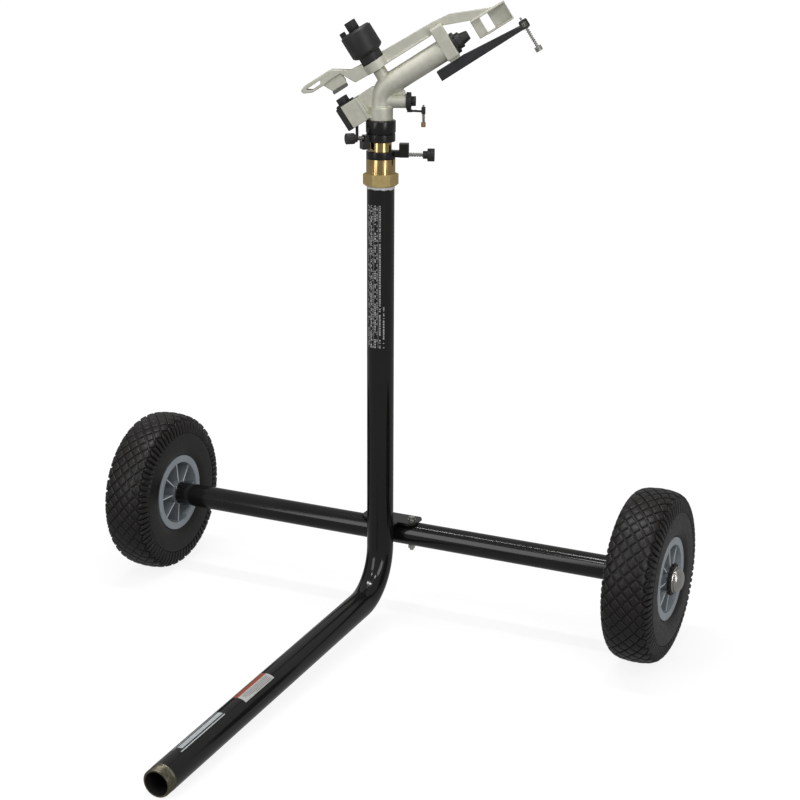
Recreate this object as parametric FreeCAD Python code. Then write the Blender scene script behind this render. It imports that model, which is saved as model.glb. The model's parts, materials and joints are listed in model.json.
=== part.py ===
"""Impact sprinkler gun on a two-wheeled pipe stand, as separate pieces.

Millimetres. +Z is up and z = 0 is the ground. The axle lies along X, the supply leg points to -Y,
and the origin is the middle of the bounding box at the ground.
"""
import FreeCAD, Part
import math
import os

os.makedirs("parts", exist_ok=True)

V = FreeCAD.Vector
X_AXIS = V(1, 0, 0)
Y_AXIS = V(0, 1, 0)
Z_AXIS = V(0, 0, 1)
ORIGIN = V(0, 0, 0)

# ---------------------------------------------------------------- stand
PIPE_R = 21.1            # 1 1/4 inch steel pipe
PIPE_BORE_R = 17.55
THREAD_R = 20.8          # male pipe thread, over its crests
THREAD_LENGTH = 17.0
AXLE_R = 19.05           # 1 1/2 inch axle tube
AXLE_BORE_R = 16.55
AXLE_HALF_LENGTH = 400.0
TYRE_R = 134.3
WHEEL_PLANE = 438.3      # from the middle of the axle to the middle of a wheel
RISER_AHEAD = 41.0       # riser axis ahead of the axle
LEG_REACH = 706.9        # axle to the middle of the leg's end
LEG_SLOPE = math.radians(2.41)
BEND_R = 78.0
PIPE_TOP = 722.0
TAPE_BOTTOM = 700.0

LEG_END_Z = THREAD_R * math.cos(LEG_SLOPE)
LEG_FRONT = LEG_REACH + THREAD_R * math.sin(LEG_SLOPE)
AXLE_Y = (LEG_FRONT - TYRE_R) / 2
RISER_Y = AXLE_Y - RISER_AHEAD
LEG_END_Y = AXLE_Y - LEG_REACH

PLATE_HALF_X = 48.0
PLATE_HALF_Y = 19.0
PLATE_THICK = 4.0
PLATE_BOTTOM = TYRE_R + AXLE_R
PLATE_TOP = PLATE_BOTTOM + PLATE_THICK
BOLT_X = 37.0
BOLT_R = 3.0
BOLT_FLATS = 10.0
BOLT_END = TYRE_R - AXLE_R - 9.0
WASHER_THICK = 1.4

# ---------------------------------------------------------------- wheels
TYRE_HALF_WIDTH = 39.0
RIM_HALF_WIDTH = 34.8
RIM_FLANGE_R = 64.6
RIM_INNER_R = 52.5
RIM_SEAT_R = 56.0
RIM_FLANGE_THICK = 3.6
HUB_R = 20.5
HUB_HALF_LENGTH = 35.1
RIB_COUNT = 8
RIB_THICK = 2.4
RIB_OUTER_TOP = 30.0       # rib's height above the wheel's middle plane at the ring
RIB_HUB_TOP = 33.0         # the same at the hub
RIM_WEB_HALF = 3.0
BEARING_R = 17.5
BEARING_WIDTH = 11.0
SPINDLE_R = 8.0
RUNNING_FIT = 0.06       # radial play of everything that turns on a shaft
SPINDLE_END = 488.0
HUB_RING_TEETH = 16
CAP_R = 20.0
CAP_HEIGHT = 54.0        # top of the dome, from the wheel's middle plane

# ---------------------------------------------------------------- swivel bearing and trip collars
SLEEVE_FLATS = 47.0
SLEEVE_HEX_TURN = 6.0
SLEEVE_HEX_Z = (707.0, 725.5)
SLEEVE_BIG_R = 22.2
SLEEVE_BIG_TOP = 748.0
SLEEVE_SMALL_R = 16.6
SLEEVE_TOP = 785.0
SHOULDER_Z = 728.1
BEARING_TUBE_R = 13.0
WATER_R = 10.5
COLLAR_R = 22.1
LOWER_COLLAR_Z = (748.5, 759.5)
UPPER_COLLAR_Z = (774.0, 785.5)
UPPER_COLLAR_TURN = 205.0    # direction of the upper stop, from the barrel's heading
LOWER_SCREW_Z = 754.0
UPPER_SCREW_Z = 780.0
SCREW_R = 2.0
LOWER_KNOB = (63.8, 70.6, 81.3, 9.8)     # stem start, knob start, knob end, knob radius
UPPER_KNOB = (38.8, 43.0, 55.5, 8.3)
COVER_R = 22.7
COVER_Z = (786.0, 805.6)

# ---------------------------------------------------------------- gun
HEADING = 22.0           # barrel's heading, from +X towards +Y
BARREL_RISE = 32.5       # barrel's angle above level
ELBOW_Z = 851.0          # where the riser's axis and the barrel's axis meet
ELBOW_BEND_R = 30.0
BODY_COLLAR_R = 18.5
BODY_COLLAR_TOP = 826.0
NECK_R = 14.2
BARREL_R = 16.8
BARREL_BORE_R = 12.5
BLOCK_A = (109.0, 128.5)     # end block, along the barrel
BLOCK_HALF_WIDTH = 17.4
LUG_FACE_B = -6.0            # the face that the arm strikes
LUG_TOP_N = 36.5
SIDE_STUB_Z = 834.5
SIDE_STUB_R = 10.7
SIDE_STUB_END = 38.5
FULCRUM_A = 13.5             # fulcrum axis, along the barrel
FULCRUM_BOSS_TOP = 27.0
PIN_R = 5.0
HUB_BOTTOM = 28.0
HUB_TOP = 42.0
ARM_HALF_WIDTH = 5.5
TAIL_HALF_WIDTH = 9.0
HOUSING_R = 25.0
HOUSING_BASE_R = 17.5
HOUSING_TOP = 94.5
PIN_TOP = 105.0
TENSION_KNOB_TOP = 109.5
DIFFUSER_TOP_N = -21.5       # top of the diffuser bar, across the barrel
DIFFUSER_BOLT_A = (114.5, 122.5)
DIFFUSER_SCREW_A = 231.0
FORK_A = (224.5, 238.0)
FORK_N = (-37.0, -24.0)
TRIP_FACE_A = -39.5
TRIP_OPEN_A = -63.5
TRIP_COVER_A = -72.5
LID_TOP_N = 12.7
TRIP_HALF_WIDTH = 14.0
TRIP_N = (-26.5, 10.5)
LEVER_U = -36.0
LEVER_V = 1.0
LEVER_PIVOT_Z = 812.0
LEVER_TIP_Z = 775.0
PLUNGER_A = -57.0
JET_SCREW_U = 64.0
JET_ARM_TIP = (815.5, 826.0)


# ---------------------------------------------------------------- building blocks
def box(x0, x1, y0, y1, z0, z1):
    return Part.makeBox(x1 - x0, y1 - y0, z1 - z0, V(x0, y0, z0))


def rod(radius, start, end):
    """Round bar between two points."""
    base = V(*start)
    run = V(*end) - base
    return Part.makeCylinder(radius, run.Length, base, run)


def tube(outer_r, inner_r, start, end):
    return rod(outer_r, start, end).cut(rod(inner_r, start, end))


def turned(points):
    """Solid of revolution about Z from (radius, height) corners."""
    corners = [V(r, 0, z) for r, z in points]
    return Part.Face(Part.makePolygon(corners + corners[:1])).revolve(ORIGIN, Z_AXIS, 360)


def side_cut(points, y0, y1):
    """Plate cut to (x, z) corners, from y0 to y1."""
    corners = [V(x, y0, z) for x, z in points]
    return Part.Face(Part.makePolygon(corners + corners[:1])).extrude(V(0, y1 - y0, 0))


def hexagon(flats, z0, z1, first_corner=0.0):
    """Hexagonal bar on the Z axis, by its width across flats."""
    corner_r = flats / math.sqrt(3)
    turns = [math.radians(first_corner + 60 * k) for k in range(7)]
    corners = [V(corner_r * math.cos(t), corner_r * math.sin(t), z0) for t in turns]
    return Part.Face(Part.makePolygon(corners)).extrude(V(0, 0, z1 - z0))


def coil(mean_r, wire_r, z0, z1, turns):
    """Helical spring on the Z axis."""
    helix = Part.makeHelix((z1 - z0) / turns, z1 - z0, mean_r)
    section = Part.Wire(Part.makeCircle(wire_r, V(mean_r, 0, 0), Y_AXIS))
    spring = Part.Wire(helix.Edges).makePipeShell([section], True, True)
    spring.translate(V(0, 0, z0))
    return spring


def knurled(radius, z0, z1, flutes, flute_r):
    """Thumb knob on the Z axis, with flutes around its edge."""
    knob = rod(radius, (0, 0, z0), (0, 0, z1))
    for k in range(flutes):
        turn = 2 * math.pi * k / flutes
        x = (radius + flute_r * 0.4) * math.cos(turn)
        y = (radius + flute_r * 0.4) * math.sin(turn)
        knob = knob.cut(rod(flute_r, (x, y, z0 - 1), (x, y, z1 + 1)))
    return knob


def fused(*shapes):
    whole = shapes[0]
    for shape in shapes[1:]:
        whole = whole.fuse(shape)
    return whole.removeSplitter()


def along(shape, base, direction):
    """Carries a shape from the Z axis to a new base and direction."""
    placed = shape.copy()
    placed.rotate(ORIGIN, FreeCAD.Rotation(Z_AXIS, V(*direction)).Axis,
                  math.degrees(FreeCAD.Rotation(Z_AXIS, V(*direction)).Angle))
    placed.translate(V(*base))
    return placed


def round_edges(shape, radius, chosen):
    edges = [edge for edge in shape.Edges if chosen(edge)]
    return shape.makeFillet(radius, edges)


def runs_along(edge, axis):
    """True for a straight edge parallel to an axis."""
    if not isinstance(edge.Curve, Part.Line):
        return False
    return abs(abs(edge.Curve.Direction.dot(axis)) - 1) < 1e-6


def turned_about(shape, degrees):
    placed = shape.copy()
    placed.rotate(ORIGIN, Z_AXIS, degrees)
    return placed


# ---------------------------------------------------------------- frames of reference
def on_riser(shape):
    """From the riser's frame (x along the heading) to the whole part."""
    placed = shape.copy()
    placed.rotate(ORIGIN, Z_AXIS, HEADING)
    placed.translate(V(0, RISER_Y, 0))
    return placed


def tilted(shape):
    """From the gun's frame (x along the barrel, z square to it) to the riser's frame."""
    placed = shape.copy()
    placed.rotate(ORIGIN, Y_AXIS, -BARREL_RISE)
    placed.translate(V(0, 0, ELBOW_Z))
    return placed


def on_gun(shape):
    return on_riser(tilted(shape))


def on_axle(shape, side):
    """From a wheel's frame (z outwards from the wheel's middle) to the whole part."""
    placed = shape.copy()
    placed.rotate(ORIGIN, Y_AXIS, 90 * side)
    placed.translate(V(side * WHEEL_PLANE, AXLE_Y, TYRE_R))
    return placed


def both_ends(shape):
    """The same fastener on the left and on the right end of the axle."""
    return Part.makeCompound([on_axle(shape, -1), on_axle(shape, 1)])


# ---------------------------------------------------------------- stand
def pipe_route():
    """Centre line: down the riser, round the bend, and along the sloping leg."""
    turn = math.pi / 2 - LEG_SLOPE
    corner_z = LEG_END_Z + (RISER_Y - LEG_END_Y) * math.tan(LEG_SLOPE)
    tangent = BEND_R * math.tan(turn / 2)
    bend_start = V(0, RISER_Y, corner_z + tangent)

    def on_bend(angle):
        return bend_start + V(0, -BEND_R * (1 - math.cos(angle)), -BEND_R * math.sin(angle))

    top = V(0, RISER_Y, PIPE_TOP)
    bend_end = on_bend(turn)
    leg_end = V(0, LEG_END_Y, LEG_END_Z)
    edges = [
        Part.LineSegment(top, bend_start).toShape(),
        Part.Arc(bend_start, on_bend(turn / 2), bend_end).toShape(),
        Part.LineSegment(bend_end, leg_end).toShape(),
    ]
    return Part.Wire(edges), leg_end


def riser_pipe():
    route, leg_end = pipe_route()

    def swept(radius):
        section = Part.Wire(Part.makeCircle(radius, V(0, RISER_Y, PIPE_TOP), V(0, 0, -1)))
        return route.makePipeShell([section], True, False)

    def thread_cutter(end, inwards, length):
        """Ring that takes the pipe down to its thread."""
        start = end - inwards * 5
        stop = end + inwards * length
        return tube(PIPE_R + 5, THREAD_R, tuple(start), tuple(stop))

    up_the_leg = V(0, math.cos(LEG_SLOPE), math.sin(LEG_SLOPE))
    pipe = swept(PIPE_R).cut(swept(PIPE_BORE_R))
    pipe = pipe.cut(thread_cutter(leg_end, up_the_leg, THREAD_LENGTH))
    top = V(0, RISER_Y, PIPE_TOP)
    return pipe.cut(thread_cutter(top, V(0, 0, -1), PIPE_TOP - TAPE_BOTTOM))


def ptfe_tape():
    tape = tube(PIPE_R + 0.1, THREAD_R, (0, 0, TAPE_BOTTOM), (0, 0, PIPE_TOP - 1))
    return on_riser(tape)


def mounting_plate():
    """Flat plate on the axle tube, welded to the back of the riser."""
    corner = 9.0
    outline = [
        V(-PLATE_HALF_X, AXLE_Y - PLATE_HALF_Y + corner, PLATE_BOTTOM),
        V(-PLATE_HALF_X + corner, AXLE_Y - PLATE_HALF_Y, PLATE_BOTTOM),
        V(-PIPE_R, AXLE_Y - PLATE_HALF_Y, PLATE_BOTTOM),
        V(-PIPE_R, RISER_Y, PLATE_BOTTOM),
        V(PIPE_R, RISER_Y, PLATE_BOTTOM),
        V(PIPE_R, AXLE_Y - PLATE_HALF_Y, PLATE_BOTTOM),
        V(PLATE_HALF_X - corner, AXLE_Y - PLATE_HALF_Y, PLATE_BOTTOM),
        V(PLATE_HALF_X, AXLE_Y - PLATE_HALF_Y + corner, PLATE_BOTTOM),
        V(PLATE_HALF_X, AXLE_Y + PLATE_HALF_Y - corner / 2, PLATE_BOTTOM),
        V(PLATE_HALF_X - corner / 2, AXLE_Y + PLATE_HALF_Y, PLATE_BOTTOM),
        V(-PLATE_HALF_X + corner / 2, AXLE_Y + PLATE_HALF_Y, PLATE_BOTTOM),
        V(-PLATE_HALF_X, AXLE_Y + PLATE_HALF_Y - corner / 2, PLATE_BOTTOM),
    ]
    plate = Part.Face(Part.makePolygon(outline + outline[:1])).extrude(V(0, 0, PLATE_THICK))
    plate = plate.cut(rod(PIPE_R, (0, RISER_Y, PLATE_BOTTOM - 1), (0, RISER_Y, PLATE_TOP + 1)))
    for side in (-1, 1):
        x = side * BOLT_X
        plate = plate.cut(rod(BOLT_R, (x, AXLE_Y, PLATE_BOTTOM - 1), (x, AXLE_Y, PLATE_TOP + 1)))
    return plate


def plate_weld():
    """Weld bead round the back of the riser, on top of the plate."""
    bead_r = 3.0
    ring = Part.makeTorus(PIPE_R, bead_r, V(0, RISER_Y, PLATE_TOP), Z_AXIS)
    back_half = box(-PIPE_R - 5, PIPE_R + 5, RISER_Y + 4, AXLE_Y, PLATE_TOP, PLATE_TOP + 5)
    bead = ring.common(back_half)
    return bead.cut(rod(PIPE_R, (0, RISER_Y, PLATE_BOTTOM), (0, RISER_Y, PLATE_TOP + 10)))


def axle_tube():
    start = (-AXLE_HALF_LENGTH, AXLE_Y, TYRE_R)
    end = (AXLE_HALF_LENGTH, AXLE_Y, TYRE_R)
    axle = tube(AXLE_R, AXLE_BORE_R, start, end)
    for side in (-1, 1):
        x = side * BOLT_X
        axle = axle.cut(rod(BOLT_R, (x, AXLE_Y, 0), (x, AXLE_Y, PLATE_TOP)))
    return axle


def at_each_bolt(shape):
    copies = []
    for side in (-1, 1):
        placed = shape.copy()
        placed.translate(V(side * BOLT_X, AXLE_Y, 0))
        copies.append(placed)
    return Part.makeCompound(copies)


def axle_bolts():
    head_bottom = PLATE_TOP + WASHER_THICK
    head = hexagon(BOLT_FLATS, head_bottom, head_bottom + 4.2)
    shank = rod(BOLT_R, (0, 0, BOLT_END), (0, 0, head_bottom))
    return at_each_bolt(fused(head, shank))


def bolt_washers():
    washer = tube(6.5, BOLT_R, (0, 0, PLATE_TOP), (0, 0, PLATE_TOP + WASHER_THICK))
    return at_each_bolt(washer)


def bolt_nuts():
    nut_top = TYRE_R - AXLE_R
    nut = hexagon(BOLT_FLATS, nut_top - 6.0, nut_top, 30.0)
    return at_each_bolt(nut.cut(rod(BOLT_R, (0, 0, BOLT_END - 1), (0, 0, nut_top + 1))))


def wheel_spindles():
    """Turned spindles with a plug that is welded into the tube's end."""
    tube_end = AXLE_HALF_LENGTH - WHEEL_PLANE
    plug = rod(AXLE_BORE_R, (0, 0, tube_end - 22), (0, 0, tube_end))
    shaft = rod(SPINDLE_R, (0, 0, tube_end - 22), (0, 0, SPINDLE_END - WHEEL_PLANE))
    return both_ends(fused(plug, shaft))


def spindle_washers():
    inner = tube(15, SPINDLE_R, (0, 0, -38.3), (0, 0, -35.5))
    outer = tube(15, SPINDLE_R, (0, 0, 35.5), (0, 0, 37.2))
    return both_ends(Part.makeCompound([inner, outer]))


def spindle_nuts():
    nut = hexagon(24.0, 37.2, 46.5)
    return both_ends(nut.cut(rod(SPINDLE_R, (0, 0, 30), (0, 0, 50))))


# ---------------------------------------------------------------- wheels
def tyre(side):
    flange_in = RIM_HALF_WIDTH - RIM_FLANGE_THICK
    half = [
        (RIM_SEAT_R, flange_in),
        (RIM_FLANGE_R, flange_in),
        (RIM_FLANGE_R + 1.5, RIM_HALF_WIDTH - 0.8),
        (74, 37.4),
        (88, TYRE_HALF_WIDTH),
        (104, TYRE_HALF_WIDTH - 0.4),
        (117, 37.0),
        (126, 33.0),
        (131.5, 25.0),
        (133.6, 14.0),
        (TYRE_R, 5.0),
    ]
    mirrored = [(r, -h) for r, h in reversed(half)]
    return on_axle(turned(half + mirrored), side)


def rim_ribs():
    """Flat ribs between the hub and the ring, on both faces of the web."""
    rib_end = math.sqrt(RIM_INNER_R ** 2 - (RIB_THICK / 2) ** 2)
    rib_points = [(HUB_R, RIM_WEB_HALF), (rib_end, RIM_WEB_HALF), (rib_end, RIB_OUTER_TOP),
                  (HUB_R, RIB_HUB_TOP)]
    rib = side_cut(rib_points, -RIB_THICK / 2, RIB_THICK / 2)
    other_rib = rib.mirror(ORIGIN, Z_AXIS)
    ribs = []
    for k in range(RIB_COUNT):
        ribs.append(turned_about(rib, 360 * k / RIB_COUNT))
        ribs.append(turned_about(other_rib, 360 * k / RIB_COUNT))
    return ribs


def rim(side):
    """Plastic rim: a flanged ring, a hub with its web, and the ribs that stand between them."""
    flange_in = RIM_HALF_WIDTH - RIM_FLANGE_THICK
    ring_half = [(RIM_SEAT_R, 0), (RIM_SEAT_R, flange_in), (RIM_FLANGE_R, flange_in),
                 (RIM_FLANGE_R, RIM_HALF_WIDTH), (RIM_INNER_R, RIM_HALF_WIDTH)]
    ring = turned(ring_half + [(r, -h) for r, h in reversed(ring_half[1:])])
    hub_half = [(RIM_INNER_R, RIM_WEB_HALF), (HUB_R, RIM_WEB_HALF), (HUB_R, HUB_HALF_LENGTH),
                (BEARING_R, HUB_HALF_LENGTH), (BEARING_R, HUB_HALF_LENGTH - BEARING_WIDTH),
                (SPINDLE_R + 4, HUB_HALF_LENGTH - BEARING_WIDTH)]
    hub = turned(hub_half + [(r, -h) for r, h in reversed(hub_half)])
    return on_axle(Part.makeCompound([ring, hub] + rim_ribs()), side)


def wheel_bearings(side):
    bore = SPINDLE_R + RUNNING_FIT
    outer_end = HUB_HALF_LENGTH
    inner_end = HUB_HALF_LENGTH - BEARING_WIDTH
    bearings = [tube(BEARING_R, bore, (0, 0, inner_end), (0, 0, outer_end)),
                tube(BEARING_R, bore, (0, 0, -outer_end), (0, 0, -inner_end))]
    return on_axle(Part.makeCompound(bearings), side)


def hub_ring(side):
    """Toothed retaining ring on the outer end of the hub."""
    bottom = HUB_HALF_LENGTH
    top = bottom + 4.4
    ring = tube(21.4, 18.4, (0, 0, bottom), (0, 0, top))
    tooth = box(20.5, 24.5, -1.8, 1.8, bottom, top)
    teeth = [turned_about(tooth, 360 * k / HUB_RING_TEETH) for k in range(HUB_RING_TEETH)]
    return on_axle(fused(ring, *teeth), side)


def hub_cap(side):
    """Domed cap that closes the hub."""
    base = HUB_HALF_LENGTH + 4.4
    wall = 1.3
    outer = [(0, base), (CAP_R, base), (CAP_R, base + 4.5), (18.2, 48.6), (13.5, 52.0),
             (7.0, 53.6), (0, CAP_HEIGHT)]
    inner = [(0, base - 1), (CAP_R - wall, base - 1), (CAP_R - wall, base + 4), (16.9, 47.9),
             (12.6, 50.8), (6.6, 52.3), (0, CAP_HEIGHT - wall)]
    return on_axle(turned(outer).cut(turned(inner)), side)


# ---------------------------------------------------------------- swivel bearing
def bearing_sleeve():
    """Brass sleeve: hexagon, large and small cylinder, bored for the swivelling tube."""
    hex_bottom, hex_top = SLEEVE_HEX_Z
    body = hexagon(SLEEVE_FLATS, hex_bottom, hex_top, SLEEVE_HEX_TURN)
    corner_r = SLEEVE_FLATS / math.sqrt(3)
    flat_r = SLEEVE_FLATS / 2
    chamfer = turned([(0, hex_bottom), (flat_r, hex_bottom), (corner_r + 0.6, hex_bottom + 2.6),
                      (corner_r + 0.6, hex_top - 1.2), (flat_r + 0.6, hex_top), (0, hex_top)])
    body = body.common(chamfer)
    big = rod(SLEEVE_BIG_R, (0, 0, hex_top), (0, 0, SLEEVE_BIG_TOP))
    small = rod(SLEEVE_SMALL_R, (0, 0, SLEEVE_BIG_TOP), (0, 0, SLEEVE_TOP))
    sleeve = fused(body, big, small)
    pocket = rod(PIPE_R + 0.1, (0, 0, hex_bottom - 1), (0, 0, PIPE_TOP + 0.2))
    chamber = rod(PIPE_BORE_R - 0.15, (0, 0, hex_bottom), (0, 0, SHOULDER_Z))
    bore = rod(BEARING_TUBE_R + RUNNING_FIT, (0, 0, hex_bottom), (0, 0, SLEEVE_TOP + 1))
    return on_riser(sleeve.cut(pocket).cut(chamber).cut(bore))


def bearing_tube():
    """Tube that carries the gun and turns in the sleeve, held by its lower flange."""
    body = rod(BEARING_TUBE_R, (0, 0, 722.6), (0, 0, 812))
    flange = rod(16.5, (0, 0, 722.6), (0, 0, 725.4))
    return on_riser(fused(body, flange).cut(rod(WATER_R, (0, 0, 720), (0, 0, 815))))


def bearing_washers():
    thick = 0.8
    washers = []
    for k in range(3):
        bottom = 725.4 + k * thick
        washers.append(tube(16.4, BEARING_TUBE_R, (0, 0, bottom), (0, 0, bottom + thick)))
    return on_riser(Part.makeCompound(washers))


def bearing_spring():
    return on_riser(coil(15.4, 0.9, SLEEVE_TOP + 1.6, COVER_Z[1] - 4.2, 4))


def bearing_cover():
    """Dust cover over the upper end of the bearing."""
    bottom, top = COVER_Z
    outer = turned([(0, bottom), (COVER_R - 0.9, bottom), (COVER_R - 0.9, bottom + 1.5),
                    (COVER_R, bottom + 2.1), (COVER_R, top - 0.8), (COVER_R - 0.8, top), (0, top)])
    hollow = rod(COVER_R - 2.6, (0, 0, bottom - 1), (0, 0, top - 3))
    bore = rod(BEARING_TUBE_R, (0, 0, bottom), (0, 0, top + 1))
    return on_riser(outer.cut(hollow).cut(bore))


# ---------------------------------------------------------------- trip collars
def collar_ring(z_range):
    bottom, top = z_range
    ring = tube(COLLAR_R, SLEEVE_SMALL_R + RUNNING_FIT, (0, 0, bottom), (0, 0, top))
    return round_edges(ring, 0.8, lambda edge: edge.Length > 2 * math.pi * (COLLAR_R - 1))


def screw_hole(z, reach):
    return rod(SCREW_R + RUNNING_FIT, (0, 0, z), (reach, 0, z))


def upper_place(shape):
    return on_riser(turned_about(shape, UPPER_COLLAR_TURN))


def lower_trip_collar():
    """Lower stop: ear, then a tall block that reaches up to the trip lever."""
    bore = rod(SLEEVE_SMALL_R + 1, (0, 0, 740), (0, 0, 790))
    ear = box(10, 30, -6, 6, 750.4, 760.2).cut(bore)
    block = box(28, 42.6, -8, 8, 750.4, 771)
    block = round_edges(block, 1.2, lambda edge: runs_along(edge, Z_AXIS))
    collar = fused(collar_ring(LOWER_COLLAR_Z), ear, block)
    return on_riser(collar.cut(screw_hole(LOWER_SCREW_Z, 50)))


def upper_trip_collar():
    """Upper stop: ear at the screw, and a block that hangs below it."""
    bore = rod(SLEEVE_SMALL_R + 1, (0, 0, 740), (0, 0, 790))
    ear = box(10, 28, -6, 6, 774.5, 784.5).cut(bore)
    block = box(19.5, 31.5, -8, 8, 763.5, 775.6)
    block = round_edges(block, 1.2, lambda edge: runs_along(edge, Z_AXIS))
    collar = fused(collar_ring(UPPER_COLLAR_Z), ear, block)
    return upper_place(collar.cut(screw_hole(UPPER_SCREW_Z, 50)))


def collar_screw(z, reach):
    return rod(SCREW_R, (SLEEVE_SMALL_R + 0.3, 0, z), (reach, 0, z))


def collar_knob(z, stem_start, head_start, head_end, head_r):
    """Thumb knob moulded on the screw: a stem and a fluted head."""
    stem = rod(6.0, (0, 0, stem_start), (0, 0, head_start))
    head = knurled(head_r, head_start, head_end, 14, 1.0)
    knob = fused(stem, head).cut(rod(SCREW_R, (0, 0, stem_start - 1), (0, 0, stem_start + 6)))
    return along(knob, (0, 0, z), (1, 0, 0))


def collar_spring(z, start, end, turns):
    return along(coil(3.1, 0.5, start, end, turns), (0, 0, z), (1, 0, 0))


def lower_collar_screw():
    return on_riser(collar_screw(LOWER_SCREW_Z, LOWER_KNOB[0] + 6))


def lower_collar_knob():
    return on_riser(collar_knob(LOWER_SCREW_Z, *LOWER_KNOB))


def lower_collar_spring():
    return on_riser(collar_spring(LOWER_SCREW_Z, 43.2, 63.2, 8))


def upper_collar_screw():
    return upper_place(collar_screw(UPPER_SCREW_Z, UPPER_KNOB[0] + 6))


def upper_collar_knob():
    return upper_place(collar_knob(UPPER_SCREW_Z, *UPPER_KNOB))


def upper_collar_spring():
    return upper_place(collar_spring(UPPER_SCREW_Z, 28.6, 38.2, 5))


# ---------------------------------------------------------------- gun body and nozzles
def elbow():
    """Tapered bend from the neck to the barrel, in the riser's frame."""
    start_z = ELBOW_Z - ELBOW_BEND_R * math.tan(math.radians(90 - BARREL_RISE) / 2)
    turn = math.radians(90 - BARREL_RISE)

    def on_bend(angle):
        return V(ELBOW_BEND_R * (1 - math.cos(angle)), 0, start_z + ELBOW_BEND_R * math.sin(angle))

    route = Part.Wire(Part.Arc(on_bend(0), on_bend(turn / 2), on_bend(turn)).toShape())
    heading = V(math.sin(turn), 0, math.cos(turn))
    low = Part.Wire(Part.makeCircle(NECK_R, on_bend(0), Z_AXIS))
    high = Part.Wire(Part.makeCircle(BARREL_R, on_bend(turn), heading))
    bend = route.makePipeShell([low, high], True, False)
    neck = rod(NECK_R, (0, 0, BODY_COLLAR_TOP - 1), (0, 0, start_z))
    return neck.fuse(bend)


def end_block():
    """Flat-sided block at the muzzle with the lug that the arm strikes, and a pad for the diffuser."""
    start, end = BLOCK_A
    half = BLOCK_HALF_WIDTH
    lug = box(start, end, -half, LUG_FACE_B, -half, LUG_TOP_N)
    lug = round_edges(lug, 2.5, lambda edge: runs_along(edge, X_AXIS))
    block = box(start, end, -half, half, -half, 13)
    block = round_edges(block, 3, lambda edge: runs_along(edge, X_AXIS))
    pad = box(start + 1, end - 2, -6.5, 6.5, DIFFUSER_TOP_N, -10)
    return fused(block, lug, pad)


def trip_bracket():
    """Web and flange that carry the trip box."""
    web = side_cut([(TRIP_FACE_A + 4, 10.5), (-8, 11), (8, 0), (-14, -26), (-31.5, -26.2),
                    (TRIP_FACE_A + 4, -23)], -4.5, 4.5)
    flange = box(TRIP_FACE_A, TRIP_FACE_A + 5, -TRIP_HALF_WIDTH, TRIP_HALF_WIDTH, -26.5, 10.5)
    flange = round_edges(flange, 2, lambda edge: runs_along(edge, X_AXIS))
    return web.fuse(flange)


def gun_body():
    """One casting: collar, neck, elbow, barrel, end block, fulcrum boss, stub and trip bracket."""
    collar = turned([(0, COVER_Z[1]), (BODY_COLLAR_R, COVER_Z[1]), (BODY_COLLAR_R, 824.8),
                     (BODY_COLLAR_R - 1.2, BODY_COLLAR_TOP), (0, BODY_COLLAR_TOP)])
    barrel_start = ELBOW_BEND_R * math.tan(math.radians(90 - BARREL_RISE) / 2)
    barrel = rod(BARREL_R, (barrel_start, 0, 0), (BLOCK_A[0] + 1, 0, 0))
    boss = rod(10, (FULCRUM_A, 0, 0), (FULCRUM_A, 0, FULCRUM_BOSS_TOP))
    stub = rod(SIDE_STUB_R, (0, 0, SIDE_STUB_Z), (SIDE_STUB_END, 0, SIDE_STUB_Z))
    gusset = side_cut([(12, 842), (36, 842), (37, 849), (28, 858), (12, 858)], -3, 3)
    under_cover = box(-60, 60, -60, 60, 700, COVER_Z[1])
    bracket = tilted(trip_bracket()).cut(under_cover)
    gun_pieces = tilted(fused(barrel, end_block(), boss))
    body = fused(collar, elbow(), gun_pieces, stub, gusset, bracket)

    thread = rod(BEARING_TUBE_R, (0, 0, 800), (0, 0, 812))
    passage = rod(WATER_R, (0, 0, 800), (0, 0, 846))
    bore = tilted(rod(BARREL_BORE_R, (14, 0, 0), (BLOCK_A[1] + 1, 0, 0)))
    corner = Part.makeSphere(WATER_R, V(6, 0, 850))
    side_bore = rod(5, (0, 0, SIDE_STUB_Z), (SIDE_STUB_END + 1, 0, SIDE_STUB_Z))
    pin_hole = tilted(rod(PIN_R, (FULCRUM_A, 0, FULCRUM_BOSS_TOP - 9),
                          (FULCRUM_A, 0, FULCRUM_BOSS_TOP + 1)))
    for hollow in (thread, passage, bore, corner, side_bore, pin_hole):
        body = body.cut(hollow)
    for a in DIFFUSER_BOLT_A:
        body = body.cut(tilted(rod(2.5, (a, 0, -25), (a, 0, -13))))
    return on_riser(body)


def main_nozzle():
    """Black nozzle: flange, notched step and tapered tip."""
    start = BLOCK_A[1]
    outline = [(0, start - 12), (BARREL_BORE_R, start - 12), (BARREL_BORE_R, start),
               (BARREL_R - 0.4, start), (BARREL_R - 0.4, start + 4.6), (14, start + 5.4),
               (12.2, start + 5.4), (12.2, 141), (9.2, 141.6), (7.0, 153.5), (0, 153.5)]
    bore = turned([(0, start - 13), (11, start - 13), (10, start - 6), (5, 148), (5, 155), (0, 155)])
    nozzle = turned(outline).cut(bore)
    for k in range(6):
        notch = turned_about(box(13.4, 20, -2, 2, start + 2.6, start + 8), 60 * k)
        nozzle = nozzle.cut(notch)
    return on_gun(along(nozzle, (0, 0, 0), (1, 0, 0)))


def side_nozzle_cap():
    cap = knurled(13.4, SIDE_STUB_END, 45.5, 18, 0.9).cut(rod(5, (0, 0, 30), (0, 0, 50)))
    return on_riser(along(cap, (0, 0, SIDE_STUB_Z), (1, 0, 0)))


def side_nozzle_plug():
    plug = hexagon(14.0, 45.5, 52.6, 30).cut(rod(2.2, (0, 0, 40), (0, 0, 60)))
    return on_riser(along(plug, (0, 0, SIDE_STUB_Z), (1, 0, 0)))


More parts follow.
